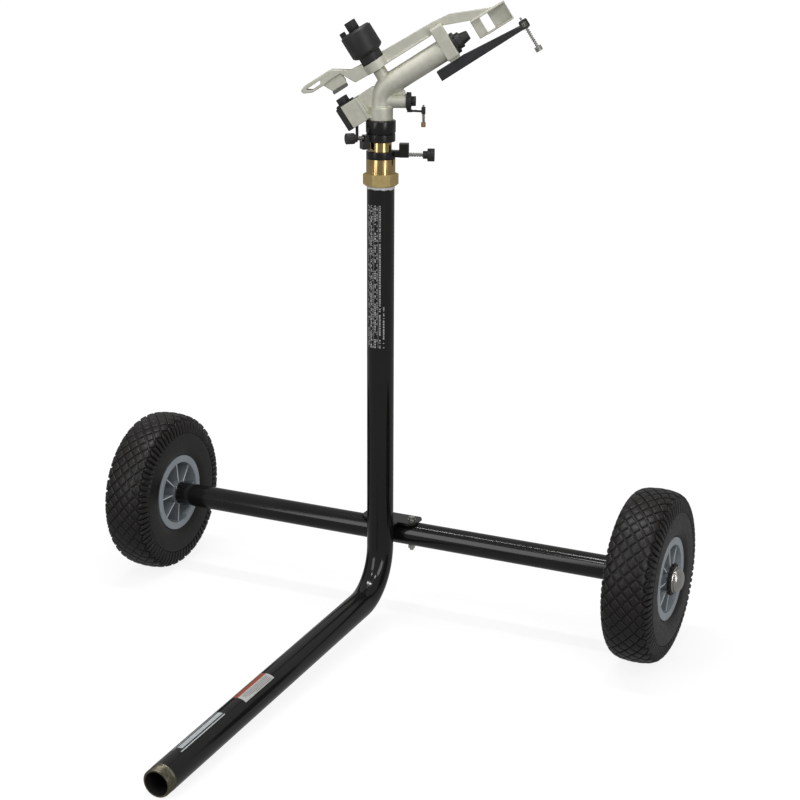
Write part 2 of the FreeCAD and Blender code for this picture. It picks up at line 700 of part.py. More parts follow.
def jet_arm():
    """Small arm under the side nozzle that holds its jet-breaking screw."""
    heel = box(39.5, 47.5, -4, 4, 818.2, 822.4)
    finger = side_cut([(46, 822), (46, 818.6), (60, 818), (63, 818), (63, 821), (56, 821)], -2, 2)
    tip = box(61, 67, -3, 3, *JET_ARM_TIP)
    arm = fused(heel, finger, tip)
    arm = arm.cut(rod(13.4, (38, 0, SIDE_STUB_Z), (50, 0, SIDE_STUB_Z)))
    return on_riser(arm.cut(rod(1.5 + RUNNING_FIT, (JET_SCREW_U, 0, 790), (JET_SCREW_U, 0, 850))))


def jet_screw():
    shank = rod(1.5, (0, 0, 803), (0, 0, 829))
    head = knurled(3.5, 796, 803, 8, 0.5)
    screw = fused(shank, head)
    screw.translate(V(JET_SCREW_U, 0, 0))
    return on_riser(screw)


def jet_spring():
    spring = coil(2.35, 0.45, 803.7, JET_ARM_TIP[0] - 0.7, 5)
    spring.translate(V(JET_SCREW_U, 0, 0))
    return on_riser(spring)


# ---------------------------------------------------------------- diffuser
def diffuser_arm():
    """Tapered bar under the barrel, with an open fork at its end."""
    bar = side_cut([(85, -37.3), (226, -36.5), (226, -29.5), (129, DIFFUSER_TOP_N + 0.5),
                    (128, DIFFUSER_TOP_N), (85, DIFFUSER_TOP_N)], -7.5, 7.5)
    bar = bar.makeChamfer(1.2, [edge for edge in bar.Edges if edge.Length > 90])
    fork = box(FORK_A[0], FORK_A[1], -6.5, 6.5, FORK_N[0], FORK_N[1])
    fork = round_edges(fork, 2.2, lambda edge: runs_along(edge, Y_AXIS))
    fork = fork.cut(box(227, 235.6, -7, 3.5, -34.6, -26.4))
    arm = fused(bar, fork)
    arm = arm.cut(rod(1.6 + RUNNING_FIT, (DIFFUSER_SCREW_A, -1.5, -60), (DIFFUSER_SCREW_A, -1.5, 0)))
    for a in DIFFUSER_BOLT_A:
        arm = arm.cut(rod(2.5, (a, 0, -40), (a, 0, 0)))
        arm = arm.cut(rod(4.3, (a, 0, -40), (a, 0, -31.5)))
    return on_gun(arm)


def diffuser_bolts():
    bolts = []
    for a in DIFFUSER_BOLT_A:
        shank = rod(2.5, (a, 0, -31.5), (a, 0, -14))
        head = rod(4.3, (a, 0, -35), (a, 0, -31.5))
        socket = along(hexagon(4.0, 0, 2), (a, 0, -35), (0, 0, 1))
        bolts.append(fused(shank, head).cut(socket))
    return on_gun(Part.makeCompound(bolts))


def diffuser_clip():
    """Bent steel clip in the fork that grips the diffuser screw."""
    outer = box(227.6, 235.2, -5.5, 2.5, -34, -27)
    inner = box(229.2, 236, -6, 0.8, -32.6, -28.4)
    clip = outer.cut(inner)
    clip = clip.cut(rod(1.6 + RUNNING_FIT, (DIFFUSER_SCREW_A, -1.5, -60), (DIFFUSER_SCREW_A, -1.5, 0)))
    return on_gun(clip)


def diffuser_screw():
    shank = rod(1.6, (0, 0, -68.5), (0, 0, -19))
    head = knurled(5.6, -75.5, -68.5, 16, 0.6)
    screw = fused(shank, head)
    screw.translate(V(DIFFUSER_SCREW_A, -1.5, 0))
    return on_gun(screw)


def diffuser_spring():
    spring = coil(2.6, 0.5, -67.7, FORK_N[0] - 0.8, 9)
    spring.translate(V(DIFFUSER_SCREW_A, -1.5, 0))
    return on_gun(spring)


# ---------------------------------------------------------------- fulcrum and spring housing
def at_fulcrum(shape):
    placed = shape.copy()
    placed.translate(V(FULCRUM_A, 0, 0))
    return on_gun(placed)


def fulcrum_pin():
    return at_fulcrum(rod(PIN_R, (0, 0, FULCRUM_BOSS_TOP - 9), (0, 0, PIN_TOP)))


def fulcrum_washer():
    return at_fulcrum(tube(9, PIN_R, (0, 0, FULCRUM_BOSS_TOP), (0, 0, FULCRUM_BOSS_TOP + 0.6)))


def spring_housing():
    """Round cover over the arm's spring, with a small ear on its lid."""
    outer = turned([(0, 42.4), (HOUSING_BASE_R - 1, 42.4), (HOUSING_BASE_R, 43.4), (HOUSING_BASE_R, 54),
                    (HOUSING_R - 3, 56), (HOUSING_R, 59), (HOUSING_R, HOUSING_TOP - 3),
                    (HOUSING_R - 3, HOUSING_TOP), (0, HOUSING_TOP)])
    hollow = turned([(0, 42), (14, 42), (14, 57), (HOUSING_R - 2.5, 60),
                     (HOUSING_R - 2.5, HOUSING_TOP - 4), (0, HOUSING_TOP - 4)])
    ear = box(-22.5, -14, -4, 4, HOUSING_TOP - 1, HOUSING_TOP + 6.5)
    ear = round_edges(ear, 1.2, lambda edge: runs_along(edge, Y_AXIS))
    shell = fused(outer.cut(hollow), ear)
    return at_fulcrum(shell.cut(rod(PIN_R, (0, 0, 40), (0, 0, 110))))


def arm_spring():
    return at_fulcrum(coil(9.5, 1.4, 45, 86, 7))


def tension_knob():
    knob = knurled(9.0, HOUSING_TOP + 0.3, TENSION_KNOB_TOP, 16, 0.8)
    return at_fulcrum(knob.cut(rod(PIN_R + RUNNING_FIT, (0, 0, 90), (0, 0, PIN_TOP + 0.3))))


# ---------------------------------------------------------------- drive arm
def drive_arm():
    """Casting that swings on the fulcrum: beam, spoon rails, hub, tail and strike lug."""
    hub = rod(19.5, (FULCRUM_A, 0, HUB_BOTTOM), (FULCRUM_A, 0, HUB_TOP))
    beam = side_cut([(FULCRUM_A, HUB_BOTTOM), (104, 27.8), (127, 32), (168, 15.5), (223, 12.5),
                     (223, 15), (204, 15.5), (146, 40.5), (117, 44), (FULCRUM_A, 47.5)],
                    -ARM_HALF_WIDTH, ARM_HALF_WIDTH)
    lip = side_cut([(30, HUB_BOTTOM), (103, 27.8), (103, 30.3), (30, 30.5)], -8, 8)
    lip = lip.cut(box(BLOCK_A[0] - 4, BLOCK_A[1], -20, -ARM_HALF_WIDTH, 0, 60))
    top_rail = box(166, 223, -9, 5, 12.5, 15)
    bottom_rail = box(178, 223, -9, 5, -15, -12.5)
    leading_plate = box(165, 180, 0, 2.5, -15, 14)
    tip_post = box(219, 223, 3, 5, -14, 14)
    tail = side_cut([(0, HUB_BOTTOM), (0, 46.5), (-22, 48.5), (-47, 65), (-96, 65), (-102.5, 62),
                     (-101, 56.5), (-88, 50.5), (-70, 50.5), (-61, 52.2), (-38, 52.5), (-26, 29.4)],
                    -TAIL_HALF_WIDTH, TAIL_HALF_WIDTH)
    tail = round_edges(tail, 1.0, lambda edge: runs_along(edge, Y_AXIS) and edge.CenterOfMass.x < -20)
    curl = side_cut([(-95, 59.5), (-69, 60), (-72, 54.5), (-87, 54)], -20, 20)
    lug = side_cut([(-69, 49.5), (-62, 35.6), (-38.5, 35.6), (-36.5, 41), (-38, 53), (-66, 54)], -5, 5)
    arm = fused(hub, beam, lip, top_rail, bottom_rail, leading_plate, tip_post, tail.cut(curl), lug)
    saddle = rod(HOUSING_BASE_R + 0.7, (FULCRUM_A, 0, HUB_TOP), (FULCRUM_A, 0, 70))
    bore = rod(8.0, (FULCRUM_A, 0, 0), (FULCRUM_A, 0, 70))
    return on_gun(arm.cut(saddle).cut(bore))


def deflector_vane():
    """Curved sheet between the spoon's rails that throws the jet aside."""
    thick = 1.8
    front = Part.Arc(V(193, 3, -12.5), V(210, -1, -12.5), V(222.6, -8.8, -12.5))
    back = Part.Arc(V(193, 3 + thick, -12.5), V(210.6, 0.8, -12.5), V(222.6, -8.8 + 2.1, -12.5))
    edges = [front.toShape(),
             Part.LineSegment(V(222.6, -8.8, -12.5), V(222.6, -6.7, -12.5)).toShape(),
             back.toShape(),
             Part.LineSegment(V(193, 3 + thick, -12.5), V(193, 3, -12.5)).toShape()]
    wire = Part.Wire(Part.__sortEdges__(edges))
    return on_gun(Part.Face(wire).extrude(V(0, 0, 25)))


def arm_bushing():
    return at_fulcrum(tube(8.0, PIN_R + RUNNING_FIT, (0, 0, HUB_BOTTOM), (0, 0, HUB_TOP)))


def strike_pad():
    pad = box(-63, -38.5, -6.5, 6.5, 30.8, 35.6)
    return on_gun(round_edges(pad, 1.2, lambda edge: runs_along(edge, Y_AXIS)))


# ---------------------------------------------------------------- trip mechanism
def trip_box():
    """Cast box on the bracket, open towards its cover, slotted for the lever."""
    bottom, top = TRIP_N
    outer = box(TRIP_OPEN_A, TRIP_FACE_A, -TRIP_HALF_WIDTH, TRIP_HALF_WIDTH, bottom, top)
    outer = round_edges(outer, 1.2, lambda edge: runs_along(edge, X_AXIS))
    inner = box(TRIP_OPEN_A - 1, TRIP_FACE_A - 2, -12, 12, bottom + 2, top - 2)
    slot = box(TRIP_OPEN_A - 1, -54, -3.5, 11, bottom - 1, bottom + 3)
    stem_hole = rod(3 + RUNNING_FIT, (PLUNGER_A, 0, 0), (PLUNGER_A, 0, top + 1))
    return on_gun(outer.cut(inner).cut(slot).cut(stem_hole))


def trip_cover():
    """Black cover on the box's open end, with a lid plate that guides the plunger."""
    bottom, top = TRIP_N
    end = box(TRIP_COVER_A, TRIP_OPEN_A, -TRIP_HALF_WIDTH, TRIP_HALF_WIDTH, bottom, top)
    end = round_edges(end, 2.0, lambda edge: runs_along(edge, Y_AXIS) and edge.CenterOfMass.x < -70)
    hollow = box(TRIP_COVER_A + 3, TRIP_OPEN_A + 1, -11, 11, bottom + 3, top - 3)
    lid = box(TRIP_COVER_A + 2, -43, -10.5, 10.5, top, LID_TOP_N)
    stem_hole = rod(3 + RUNNING_FIT, (PLUNGER_A, 0, 0), (PLUNGER_A, 0, LID_TOP_N + 1))
    return on_gun(fused(end.cut(hollow), lid).cut(stem_hole))


def trip_plunger():
    """Reversing stop that rises out of the trip box."""
    head = knurled(9.3, LID_TOP_N + 0.3, 21.6, 12, 0.8)
    stem = rod(3, (0, 0, -4), (0, 0, LID_TOP_N + 1))
    plunger = fused(head, stem)
    plunger.translate(V(PLUNGER_A, 0, 0))
    return on_gun(plunger)


def trip_lever():
    """Rod that hangs to the collars from a pivot barrel inside the box."""
    stem = rod(2.3, (LEVER_U, LEVER_V, LEVER_TIP_Z), (LEVER_U, LEVER_V, LEVER_PIVOT_Z))
    barrel = rod(3.6, (LEVER_U - 4, LEVER_V, LEVER_PIVOT_Z), (LEVER_U + 4, LEVER_V, LEVER_PIVOT_Z))
    return on_riser(fused(stem, barrel))


def trip_spring():
    """Over-centre spring beside the pivot."""
    spring = coil(2.2, 0.4, -9, 6, 7)
    spring.translate(V(-47.5, -8.5, 0))
    return on_gun(spring)


# ---------------------------------------------------------------- export
SINGLE_PIECES = [
    riser_pipe, ptfe_tape, mounting_plate, plate_weld, axle_tube, axle_bolts, bolt_washers, bolt_nuts,
    wheel_spindles, spindle_washers, spindle_nuts, bearing_sleeve, bearing_tube, bearing_washers,
    bearing_spring, bearing_cover, lower_trip_collar, lower_collar_screw, lower_collar_knob,
    lower_collar_spring, upper_trip_collar, upper_collar_screw, upper_collar_knob,
    upper_collar_spring, gun_body, main_nozzle, side_nozzle_cap, side_nozzle_plug, jet_arm, jet_screw,
    jet_spring, diffuser_arm, diffuser_bolts, diffuser_clip, diffuser_screw, diffuser_spring,
    fulcrum_pin, fulcrum_washer, spring_housing, arm_spring, tension_knob, drive_arm, deflector_vane,
    arm_bushing, strike_pad, trip_box, trip_cover, trip_plunger, trip_lever, trip_spring,
]
WHEEL_PIECES = [tyre, rim, wheel_bearings, hub_ring, hub_cap]
SIDES = {"left": -1, "right": 1}

shapes = {make.__name__: make() for make in SINGLE_PIECES}
for side_name, side in SIDES.items():
    for make in WHEEL_PIECES:
        shapes[side_name + "_" + make.__name__] = make(side)

for node, shape in shapes.items():
    shape.exportStep("parts/" + node + ".step")
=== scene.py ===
"""Looks of an impact sprinkler gun on its two-wheeled pipe stand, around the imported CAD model. Metres."""
import json
import math

import bmesh
import bpy
import numpy as np
from mathutils import Matrix, Vector

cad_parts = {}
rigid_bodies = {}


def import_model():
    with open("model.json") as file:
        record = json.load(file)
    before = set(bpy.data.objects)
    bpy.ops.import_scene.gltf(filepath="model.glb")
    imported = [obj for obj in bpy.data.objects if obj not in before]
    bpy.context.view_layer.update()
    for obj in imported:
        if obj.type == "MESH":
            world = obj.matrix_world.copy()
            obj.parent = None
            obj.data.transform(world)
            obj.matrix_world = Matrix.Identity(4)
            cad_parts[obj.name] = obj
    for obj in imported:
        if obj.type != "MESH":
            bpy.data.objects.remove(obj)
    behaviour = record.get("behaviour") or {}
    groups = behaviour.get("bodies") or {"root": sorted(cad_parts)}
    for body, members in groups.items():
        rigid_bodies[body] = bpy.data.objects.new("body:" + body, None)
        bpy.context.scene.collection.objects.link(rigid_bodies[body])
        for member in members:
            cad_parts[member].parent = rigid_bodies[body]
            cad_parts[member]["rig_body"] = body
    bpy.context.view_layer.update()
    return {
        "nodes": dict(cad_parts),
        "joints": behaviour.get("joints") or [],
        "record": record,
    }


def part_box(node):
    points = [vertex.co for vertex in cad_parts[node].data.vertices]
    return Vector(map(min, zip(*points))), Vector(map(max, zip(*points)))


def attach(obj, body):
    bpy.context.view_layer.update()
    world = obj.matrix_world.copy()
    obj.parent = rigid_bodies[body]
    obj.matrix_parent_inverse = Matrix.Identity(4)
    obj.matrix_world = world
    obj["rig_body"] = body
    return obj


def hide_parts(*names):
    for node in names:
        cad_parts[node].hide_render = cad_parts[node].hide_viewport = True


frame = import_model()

MM = 0.001
SCENE = bpy.context.scene
JOINTS = {joint["name"]: joint for joint in frame["joints"]}
MOUNTS = {mount["name"]: mount for mount in frame["record"]["mounts"]}


# ---------------------------------------------------------------- frames of reference
def frame_of(x, y, z, origin):
    """Matrix of a frame from its three axes and its origin."""
    columns = [list(v) + [0.0] for v in (x, y, z)] + [list(origin) + [1.0]]
    return Matrix(columns).transposed()


SWIVEL = Vector(JOINTS["head_swivel"]["pos_m"])
BARREL = Vector(MOUNTS["jet_outlet"]["axis"]).normalized()
UP = Vector((0, 0, 1))
LEVEL = Vector((BARREL.x, BARREL.y, 0)).normalized()
ACROSS = UP.cross(LEVEL)
TIP = Vector(MOUNTS["jet_outlet"]["pos_m"])
TIP_REACH = (Vector((TIP.x, TIP.y, 0)) - Vector((SWIVEL.x, SWIVEL.y, 0))).length / BARREL.dot(LEVEL)

RISER = frame_of(LEVEL, ACROSS, UP, (SWIVEL.x, SWIVEL.y, 0))        # z = 0 on the ground
RISER_UPRIGHT = Matrix.Translation((SWIVEL.x, SWIVEL.y, 0))         # the same, square to the axle
GUN = frame_of(BARREL, ACROSS, BARREL.cross(ACROSS), TIP - BARREL * TIP_REACH)
LEG_AXIS = Vector(MOUNTS["inlet_thread"]["axis"]).normalized()
THREAD_LENGTH = MOUNTS["inlet_thread"]["dims"]["length_mm"] * MM
THREAD_R = MOUNTS["inlet_thread"]["dims"]["r_mm"] * MM
LEG_END = Vector(MOUNTS["inlet_thread"]["pos_m"]) + LEG_AXIS * THREAD_LENGTH / 2
SIDES = {"left": -1, "right": 1}


def wheel_frame(side):
    """Frame on the axle with z outwards, in the middle of that side's wheel."""
    out = Vector((SIDES[side], 0, 0))
    back = Vector((0, 1, 0))
    return frame_of(back.cross(out), back, out, JOINTS[side + "_wheel_spin"]["pos_m"])


# ---------------------------------------------------------------- materials
class Surface:
    """A Principled material that is built up from procedural nodes."""

    def __init__(self, name, roughness, metallic=0.0, ior=1.5):
        self.material = bpy.data.materials.new(name)
        self.material.use_nodes = True
        self.nodes = self.material.node_tree.nodes
        self.links = self.material.node_tree.links
        self.shader = self.nodes["Principled BSDF"]
        self.shader.inputs["Metallic"].default_value = metallic
        self.shader.inputs["Roughness"].default_value = roughness
        self.shader.inputs["IOR"].default_value = ior
        self.place = self.nodes.new("ShaderNodeTexCoord").outputs["Object"]
        self.normal = None

    def stretched(self, scale, rotation=(0, 0, 0)):
        """Object coordinates scaled along the axes, so that a texture is drawn out."""
        mapping = self.nodes.new("ShaderNodeMapping")
        mapping.vector_type = "TEXTURE"
        mapping.inputs["Rotation"].default_value = rotation
        mapping.inputs["Scale"].default_value = scale
        self.links.new(self.place, mapping.inputs["Vector"])
        return mapping.outputs["Vector"]

    def noise(self, size, detail=3.0, roughness=0.55, along=None):
        """Noise with features of about that size in metres."""
        node = self.nodes.new("ShaderNodeTexNoise")
        node.inputs["Scale"].default_value = 1 / size
        node.inputs["Detail"].default_value = detail
        node.inputs["Roughness"].default_value = roughness
        self.links.new(along or self.place, node.inputs["Vector"])
        return node.outputs["Fac"]

    def ramp(self, fac, stops):
        """Colour ramp from (position, colour) stops."""
        node = self.nodes.new("ShaderNodeValToRGB")
        while len(node.color_ramp.elements) < len(stops):
            node.color_ramp.elements.new(0.5)
        for element, (position, colour) in zip(node.color_ramp.elements, stops):
            element.position = position
            element.color = (*colour, 1)
        self.links.new(fac, node.inputs["Fac"])
        return node.outputs["Color"]

    def spread(self, fac, low, high, start=0.3, end=0.7):
        """Maps start..end of a factor to low..high."""
        node = self.nodes.new("ShaderNodeMapRange")
        for name, value in (("From Min", start), ("From Max", end), ("To Min", low), ("To Max", high)):
            node.inputs[name].default_value = value
        self.links.new(fac, node.inputs["Value"])
        return node.outputs["Result"]

    def blend(self, fac, a, b):
        """Mixes two colours, each a colour or a socket."""
        node = self.nodes.new("ShaderNodeMix")
        node.data_type = "RGBA"
        for socket, value in ((node.inputs[6], a), (node.inputs[7], b)):
            if isinstance(value, tuple):
                socket.default_value = (*value, 1)
            else:
                self.links.new(value, socket)
        self.links.new(fac, node.inputs["Factor"])
        return node.outputs[2]

    def colour(self, socket):
        self.links.new(socket, self.shader.inputs["Base Color"])
        return self

    def roughness(self, socket):
        self.links.new(socket, self.shader.inputs["Roughness"])
        return self

    def bump(self, height, depth, strength=1.0):
        """Adds relief of that depth in metres under the relief that is there already."""
        node = self.nodes.new("ShaderNodeBump")
        node.inputs["Distance"].default_value = depth
        node.inputs["Strength"].default_value = strength
        self.links.new(height, node.inputs["Height"])
        if self.normal:
            self.links.new(self.normal, node.inputs["Normal"])
        self.normal = node.outputs["Normal"]
        self.links.new(self.normal, self.shader.inputs["Normal"])
        return self


def gloss_paint():
    """Black enamel with faint orange peel and a little dust."""
    s = Surface("gloss_black_paint", 0.13)
    dust = s.noise(0.004, 6, 0.7)
    s.colour(s.ramp(s.noise(0.08, 4), [(0.3, (0.0065, 0.0062, 0.0058)), (0.7, (0.0105, 0.01, 0.0094))]))
    s.roughness(s.spread(dust, 0.09, 0.17))
    s.bump(s.noise(0.006, 2), 0.00012, 0.25)
    s.bump(s.noise(0.0009, 3), 0.00002, 0.3)
    return s.material


def tyre_rubber():
    """Charcoal rubber: slightly mottled, paler where the surface is scuffed."""
    s = Surface("tyre_rubber", 0.5, ior=1.45)
    mottle = s.noise(0.02, 5, 0.6)
    base = s.ramp(mottle, [(0.3, (0.0098, 0.0088, 0.008)), (0.7, (0.0165, 0.015, 0.0136))])
    s.colour(s.blend(s.spread(s.noise(0.0012, 4, 0.7), 0.0, 0.3, 0.58, 0.82), base, (0.036, 0.034, 0.0315)))
    s.roughness(s.spread(s.noise(0.005, 4), 0.34, 0.5))
    s.bump(s.noise(0.0022, 4, 0.6), 0.0003, 0.35)
    s.bump(s.noise(0.0005, 3), 0.00006, 0.5)
    return s.material


def rim_plastic(name, dark, light):
    """Blue-grey moulded plastic with a slight swirl and scuffs."""
    s = Surface(name, 0.4)
    s.colour(s.ramp(s.noise(0.03, 5, 0.6), [(0.3, dark), (0.7, light)]))
    s.roughness(s.spread(s.noise(0.004, 5, 0.7), 0.3, 0.46))
    s.bump(s.noise(0.0007, 3), 0.00004, 0.4)
    return s.material


def black_plastic():
    """Moulded black plastic with a fine texture."""
    s = Surface("black_plastic", 0.42)
    s.colour(s.ramp(s.noise(0.01, 3), [(0.3, (0.0175, 0.0168, 0.0165)), (0.7, (0.024, 0.0232, 0.0227))]))
    s.roughness(s.spread(s.noise(0.002, 5, 0.7), 0.42, 0.56))
    s.bump(s.noise(0.0005, 3), 0.00003, 0.4)
    return s.material


def gloss_plastic():
    """Smoother black plastic of the bearing cover and the trip collars."""
    s = Surface("gloss_black_plastic", 0.25)
    s.colour(s.ramp(s.noise(0.012, 3), [(0.3, (0.0062, 0.006, 0.0056)), (0.7, (0.0088, 0.0085, 0.008))]))
    s.roughness(s.spread(s.noise(0.003, 5, 0.7), 0.19, 0.28))
    s.bump(s.noise(0.0008, 3), 0.00002, 0.3)
    return s.material


def black_coated_metal():
    """Satin black coating on cast metal, greyer where light catches the grain."""
    s = Surface("black_coated_metal", 0.42)
    s.colour(s.ramp(s.noise(0.006, 6, 0.7), [(0.3, (0.017, 0.0175, 0.0195)), (0.7, (0.034, 0.035, 0.038))]))
    s.roughness(s.spread(s.noise(0.0015, 5, 0.7), 0.34, 0.52))
    s.bump(s.noise(0.0009, 4, 0.7), 0.0001, 0.5)
    return s.material


def cast_metal():
    """Matt plated casting: warm grey, fine pebbled skin, darker in its mottles."""
    s = Surface("cast_metal", 0.5, 1.0)
    base = s.ramp(s.noise(0.012, 6, 0.65), [(0.25, (0.66, 0.655, 0.575)), (0.75, (0.8, 0.795, 0.705))])
    s.colour(s.blend(s.spread(s.noise(0.0022, 5, 0.75), 0.0, 0.42, 0.56, 0.8), base, (0.4, 0.395, 0.335)))
    s.roughness(s.spread(s.noise(0.003, 5, 0.7), 0.56, 0.74))
    s.bump(s.noise(0.0035, 3, 0.5), 0.00018, 0.3)
    s.bump(s.noise(0.0007, 4, 0.7), 0.00004, 0.4)
    return s.material


def turned_brass():
    """Polished brass with fine lathe rings round the riser's axis."""
    s = Surface("turned_brass", 0.13, 1.0)
    rings = s.noise(0.0006, 2, 0.6, s.stretched((400.0, 400.0, 1.0)))
    s.colour(s.ramp(s.noise(0.015, 5, 0.6), [(0.3, (0.5, 0.35, 0.145)), (0.7, (0.62, 0.455, 0.22))]))
    s.roughness(s.spread(rings, 0.13, 0.2))
    s.bump(rings, 0.000004, 0.4)
    return s.material


def matt_brass():
    """Duller, olive brass of the hexagon's sawn and tumbled flats."""
    s = Surface("matt_brass", 0.5, 0.7)
    s.colour(s.ramp(s.noise(0.006, 6, 0.65), [(0.3, (0.53, 0.405, 0.17)), (0.7, (0.66, 0.515, 0.235))]))
    s.roughness(s.spread(s.noise(0.002, 5, 0.7), 0.5, 0.68))
    s.bump(s.noise(0.0006, 4, 0.7), 0.00005, 0.5)
    return s.material


def zinc_steel():
    """Zinc-plated fasteners."""
    s = Surface("zinc_plated_steel", 0.25, 1.0)
    s.colour(s.ramp(s.noise(0.003, 5, 0.6), [(0.3, (0.5, 0.49, 0.47)), (0.7, (0.7, 0.69, 0.66))]))
    s.roughness(s.spread(s.noise(0.0012, 5, 0.7), 0.18, 0.36))
    s.bump(s.noise(0.0005, 3), 0.00002, 0.4)
    return s.material


def spring_steel():
    """Bare spring wire, darker in its drawing marks."""
    s = Surface("spring_wire", 0.3, 1.0)
    s.colour(s.ramp(s.noise(0.002, 4), [(0.3, (0.3, 0.29, 0.265)), (0.7, (0.5, 0.485, 0.45))]))
    s.roughness(s.spread(s.noise(0.0008, 4, 0.7), 0.24, 0.4))
    return s.material


def copper_screw():
    """Dull brown brass of the small jet's screw."""
    s = Surface("dull_copper_brass", 0.34, 1.0)
    s.colour(s.ramp(s.noise(0.002, 5), [(0.3, (0.27, 0.18, 0.11)), (0.7, (0.42, 0.29, 0.18))]))
    s.roughness(s.spread(s.noise(0.001, 4, 0.7), 0.28, 0.44))
    return s.material


def chrome():
    """Bright plated cap with faint polishing marks."""
    s = Surface("chrome_plate", 0.26, 1.0)
    s.colour(s.ramp(s.noise(0.01, 4), [(0.3, (0.5, 0.49, 0.47)), (0.7, (0.58, 0.57, 0.55))]))
    s.roughness(s.spread(s.noise(0.0015, 6, 0.7), 0.22, 0.31))
    s.bump(s.noise(0.004, 3), 0.00003, 0.15)
    return s.material


def bare_thread():
    """Bare pipe thread with a film of cutting oil."""
    s = Surface("bare_pipe_thread", 0.32, 1.0)
    s.colour(s.ramp(s.noise(0.004, 6, 0.7), [(0.3, (0.13, 0.12, 0.085)), (0.7, (0.25, 0.235, 0.175))]))
    s.roughness(s.spread(s.noise(0.0015, 5, 0.7), 0.24, 0.42))
    return s.material


def pipe_inside():
    """Near-black, rough and bumpy inside of the pipe."""
    s = Surface("pipe_bore", 0.7)
    s.colour(s.ramp(s.noise(0.004, 6, 0.7), [(0.3, (0.006, 0.0058, 0.0052)), (0.7, (0.015, 0.0138, 0.012))]))
    s.roughness(s.spread(s.noise(0.002, 5, 0.7), 0.6, 0.85))
    s.bump(s.noise(0.001, 4, 0.7), 0.0002, 0.5)
    return s.material


def thread_tape():
    """White thread tape, wrinkled where it was wound on."""
    s = Surface("thread_tape", 0.5)
    s.colour(s.ramp(s.noise(0.004, 5, 0.6), [(0.3, (0.66, 0.68, 0.69)), (0.65, (0.9, 0.91, 0.91))]))
    s.roughness(s.spread(s.noise(0.002, 4), 0.42, 0.62))
    s.bump(s.noise(0.0015, 3, 0.6, s.stretched((4.0, 4.0, 1.0))), 0.0003, 0.6)
    return s.material


def pad_rubber():
    """Grey rubber of the strike pad and the bearing washers."""
    s = Surface("strike_pad_rubber", 0.6)
    s.colour(s.ramp(s.noise(0.003, 5, 0.6), [(0.3, (0.11, 0.108, 0.1)), (0.7, (0.17, 0.165, 0.155))]))
    s.roughness(s.spread(s.noise(0.001, 4), 0.5, 0.7))
    s.bump(s.noise(0.0005, 3), 0.00005, 0.5)
    return s.material


def print_ink():
    """White ink, thin enough for the black to show in places."""
    s = Surface("white_ink", 0.45)
    s.colour(s.ramp(s.noise(0.0012, 4, 0.7), [(0.3, (0.26, 0.26, 0.26)), (0.6, (0.6, 0.6, 0.6))]))
    s.roughness(s.spread(s.noise(0.002, 3), 0.38, 0.55))
    return s.material


def sticker_film(name, dark, light):
    """Matt sticker film in one colour."""
    s = Surface(name, 0.4)
    s.colour(s.ramp(s.noise(0.005, 5, 0.6), [(0.3, dark), (0.7, light)]))
    s.roughness(s.spread(s.noise(0.002, 4), 0.32, 0.48))
    s.bump(s.noise(0.003, 3), 0.00005, 0.3)
    return s.material


def studio_floor():
    """White floor that glows, a little less round the object, where the lamps reach it."""
    s = Surface("studio_floor", 0.75)
    s.colour(s.ramp(s.noise(0.5, 4), [(0.3, (0.2, 0.2, 0.2)), (0.7, (0.22, 0.22, 0.22))]))
    s.roughness(s.spread(s.noise(0.05, 4), 0.7, 0.8))
    reach = s.nodes.new("ShaderNodeVectorMath")
    reach.operation = "LENGTH"
    s.links.new(s.place, reach.inputs[0])
    s.links.new(s.spread(reach.outputs["Value"], 0.86, 1.0, 0.6, 2.6), s.shader.inputs["Emission Strength"])
    s.shader.inputs["Emission Color"].default_value = (1, 1, 1, 1)
    s.shader.inputs["Specular IOR Level"].default_value = 0.0
    return s.material


PAINT = gloss_paint()
RUBBER = tyre_rubber()
RIM = rim_plastic("rim_plastic", (0.34, 0.385, 0.42), (0.41, 0.46, 0.5))
# painted shade: darker plastic for the hub, the web and the rib sides, standing in for the shade in the
# wheel's recess
RIM_WEB_PAINTED_SHADE = rim_plastic("rim_plastic_recess_painted_shade", (0.17, 0.19, 0.205), (0.215, 0.24, 0.26))
# painted highlight: much paler plastic on the rib tops, standing in for the bright lines the light draws
# along them
RIM_RIB_PAINTED_HIGHLIGHT = rim_plastic("rim_plastic_rib_tops_painted_highlight", (0.62, 0.66, 0.69), (0.74, 0.78, 0.8))
PLASTIC = black_plastic()
GLOSS_PLASTIC = gloss_plastic()
COATED = black_coated_metal()
CAST = cast_metal()
BRASS = turned_brass()
HEX_BRASS = matt_brass()
ZINC = zinc_steel()
SPRING = spring_steel()
COPPER = copper_screw()
CHROME = chrome()
THREAD = bare_thread()
BORE = pipe_inside()
TAPE = thread_tape()
PAD = pad_rubber()
INK = print_ink()

CAD_MATERIALS = {
    PAINT: ["axle_tube", "mounting_plate"],
    ZINC: ["axle_bolts", "bolt_washers", "bolt_nuts", "wheel_spindles", "spindle_washers", "spindle_nuts",
           "diffuser_bolts", "fulcrum_pin", "fulcrum_washer", "lower_collar_screw", "upper_collar_screw",
           "left_wheel_bearings", "right_wheel_bearings"],
    SPRING: ["bearing_spring", "lower_collar_spring", "upper_collar_spring", "jet_spring",
             "diffuser_spring", "arm_spring", "trip_spring", "diffuser_clip", "diffuser_screw"],
    COPPER: ["jet_screw"],
    BRASS: ["bearing_sleeve", "bearing_tube", "arm_bushing"],
    PAD: ["strike_pad", "bearing_washers"],
    GLOSS_PLASTIC: ["bearing_cover", "lower_trip_collar", "upper_trip_collar"],
    PLASTIC: ["lower_collar_knob", "upper_collar_knob", "main_nozzle", "side_nozzle_cap",
              "side_nozzle_plug", "jet_arm", "spring_housing", "tension_knob", "trip_cover",
              "trip_plunger", "left_hub_ring", "right_hub_ring"],
    COATED: ["diffuser_arm", "trip_lever"],
    CAST: ["trip_box"],
}
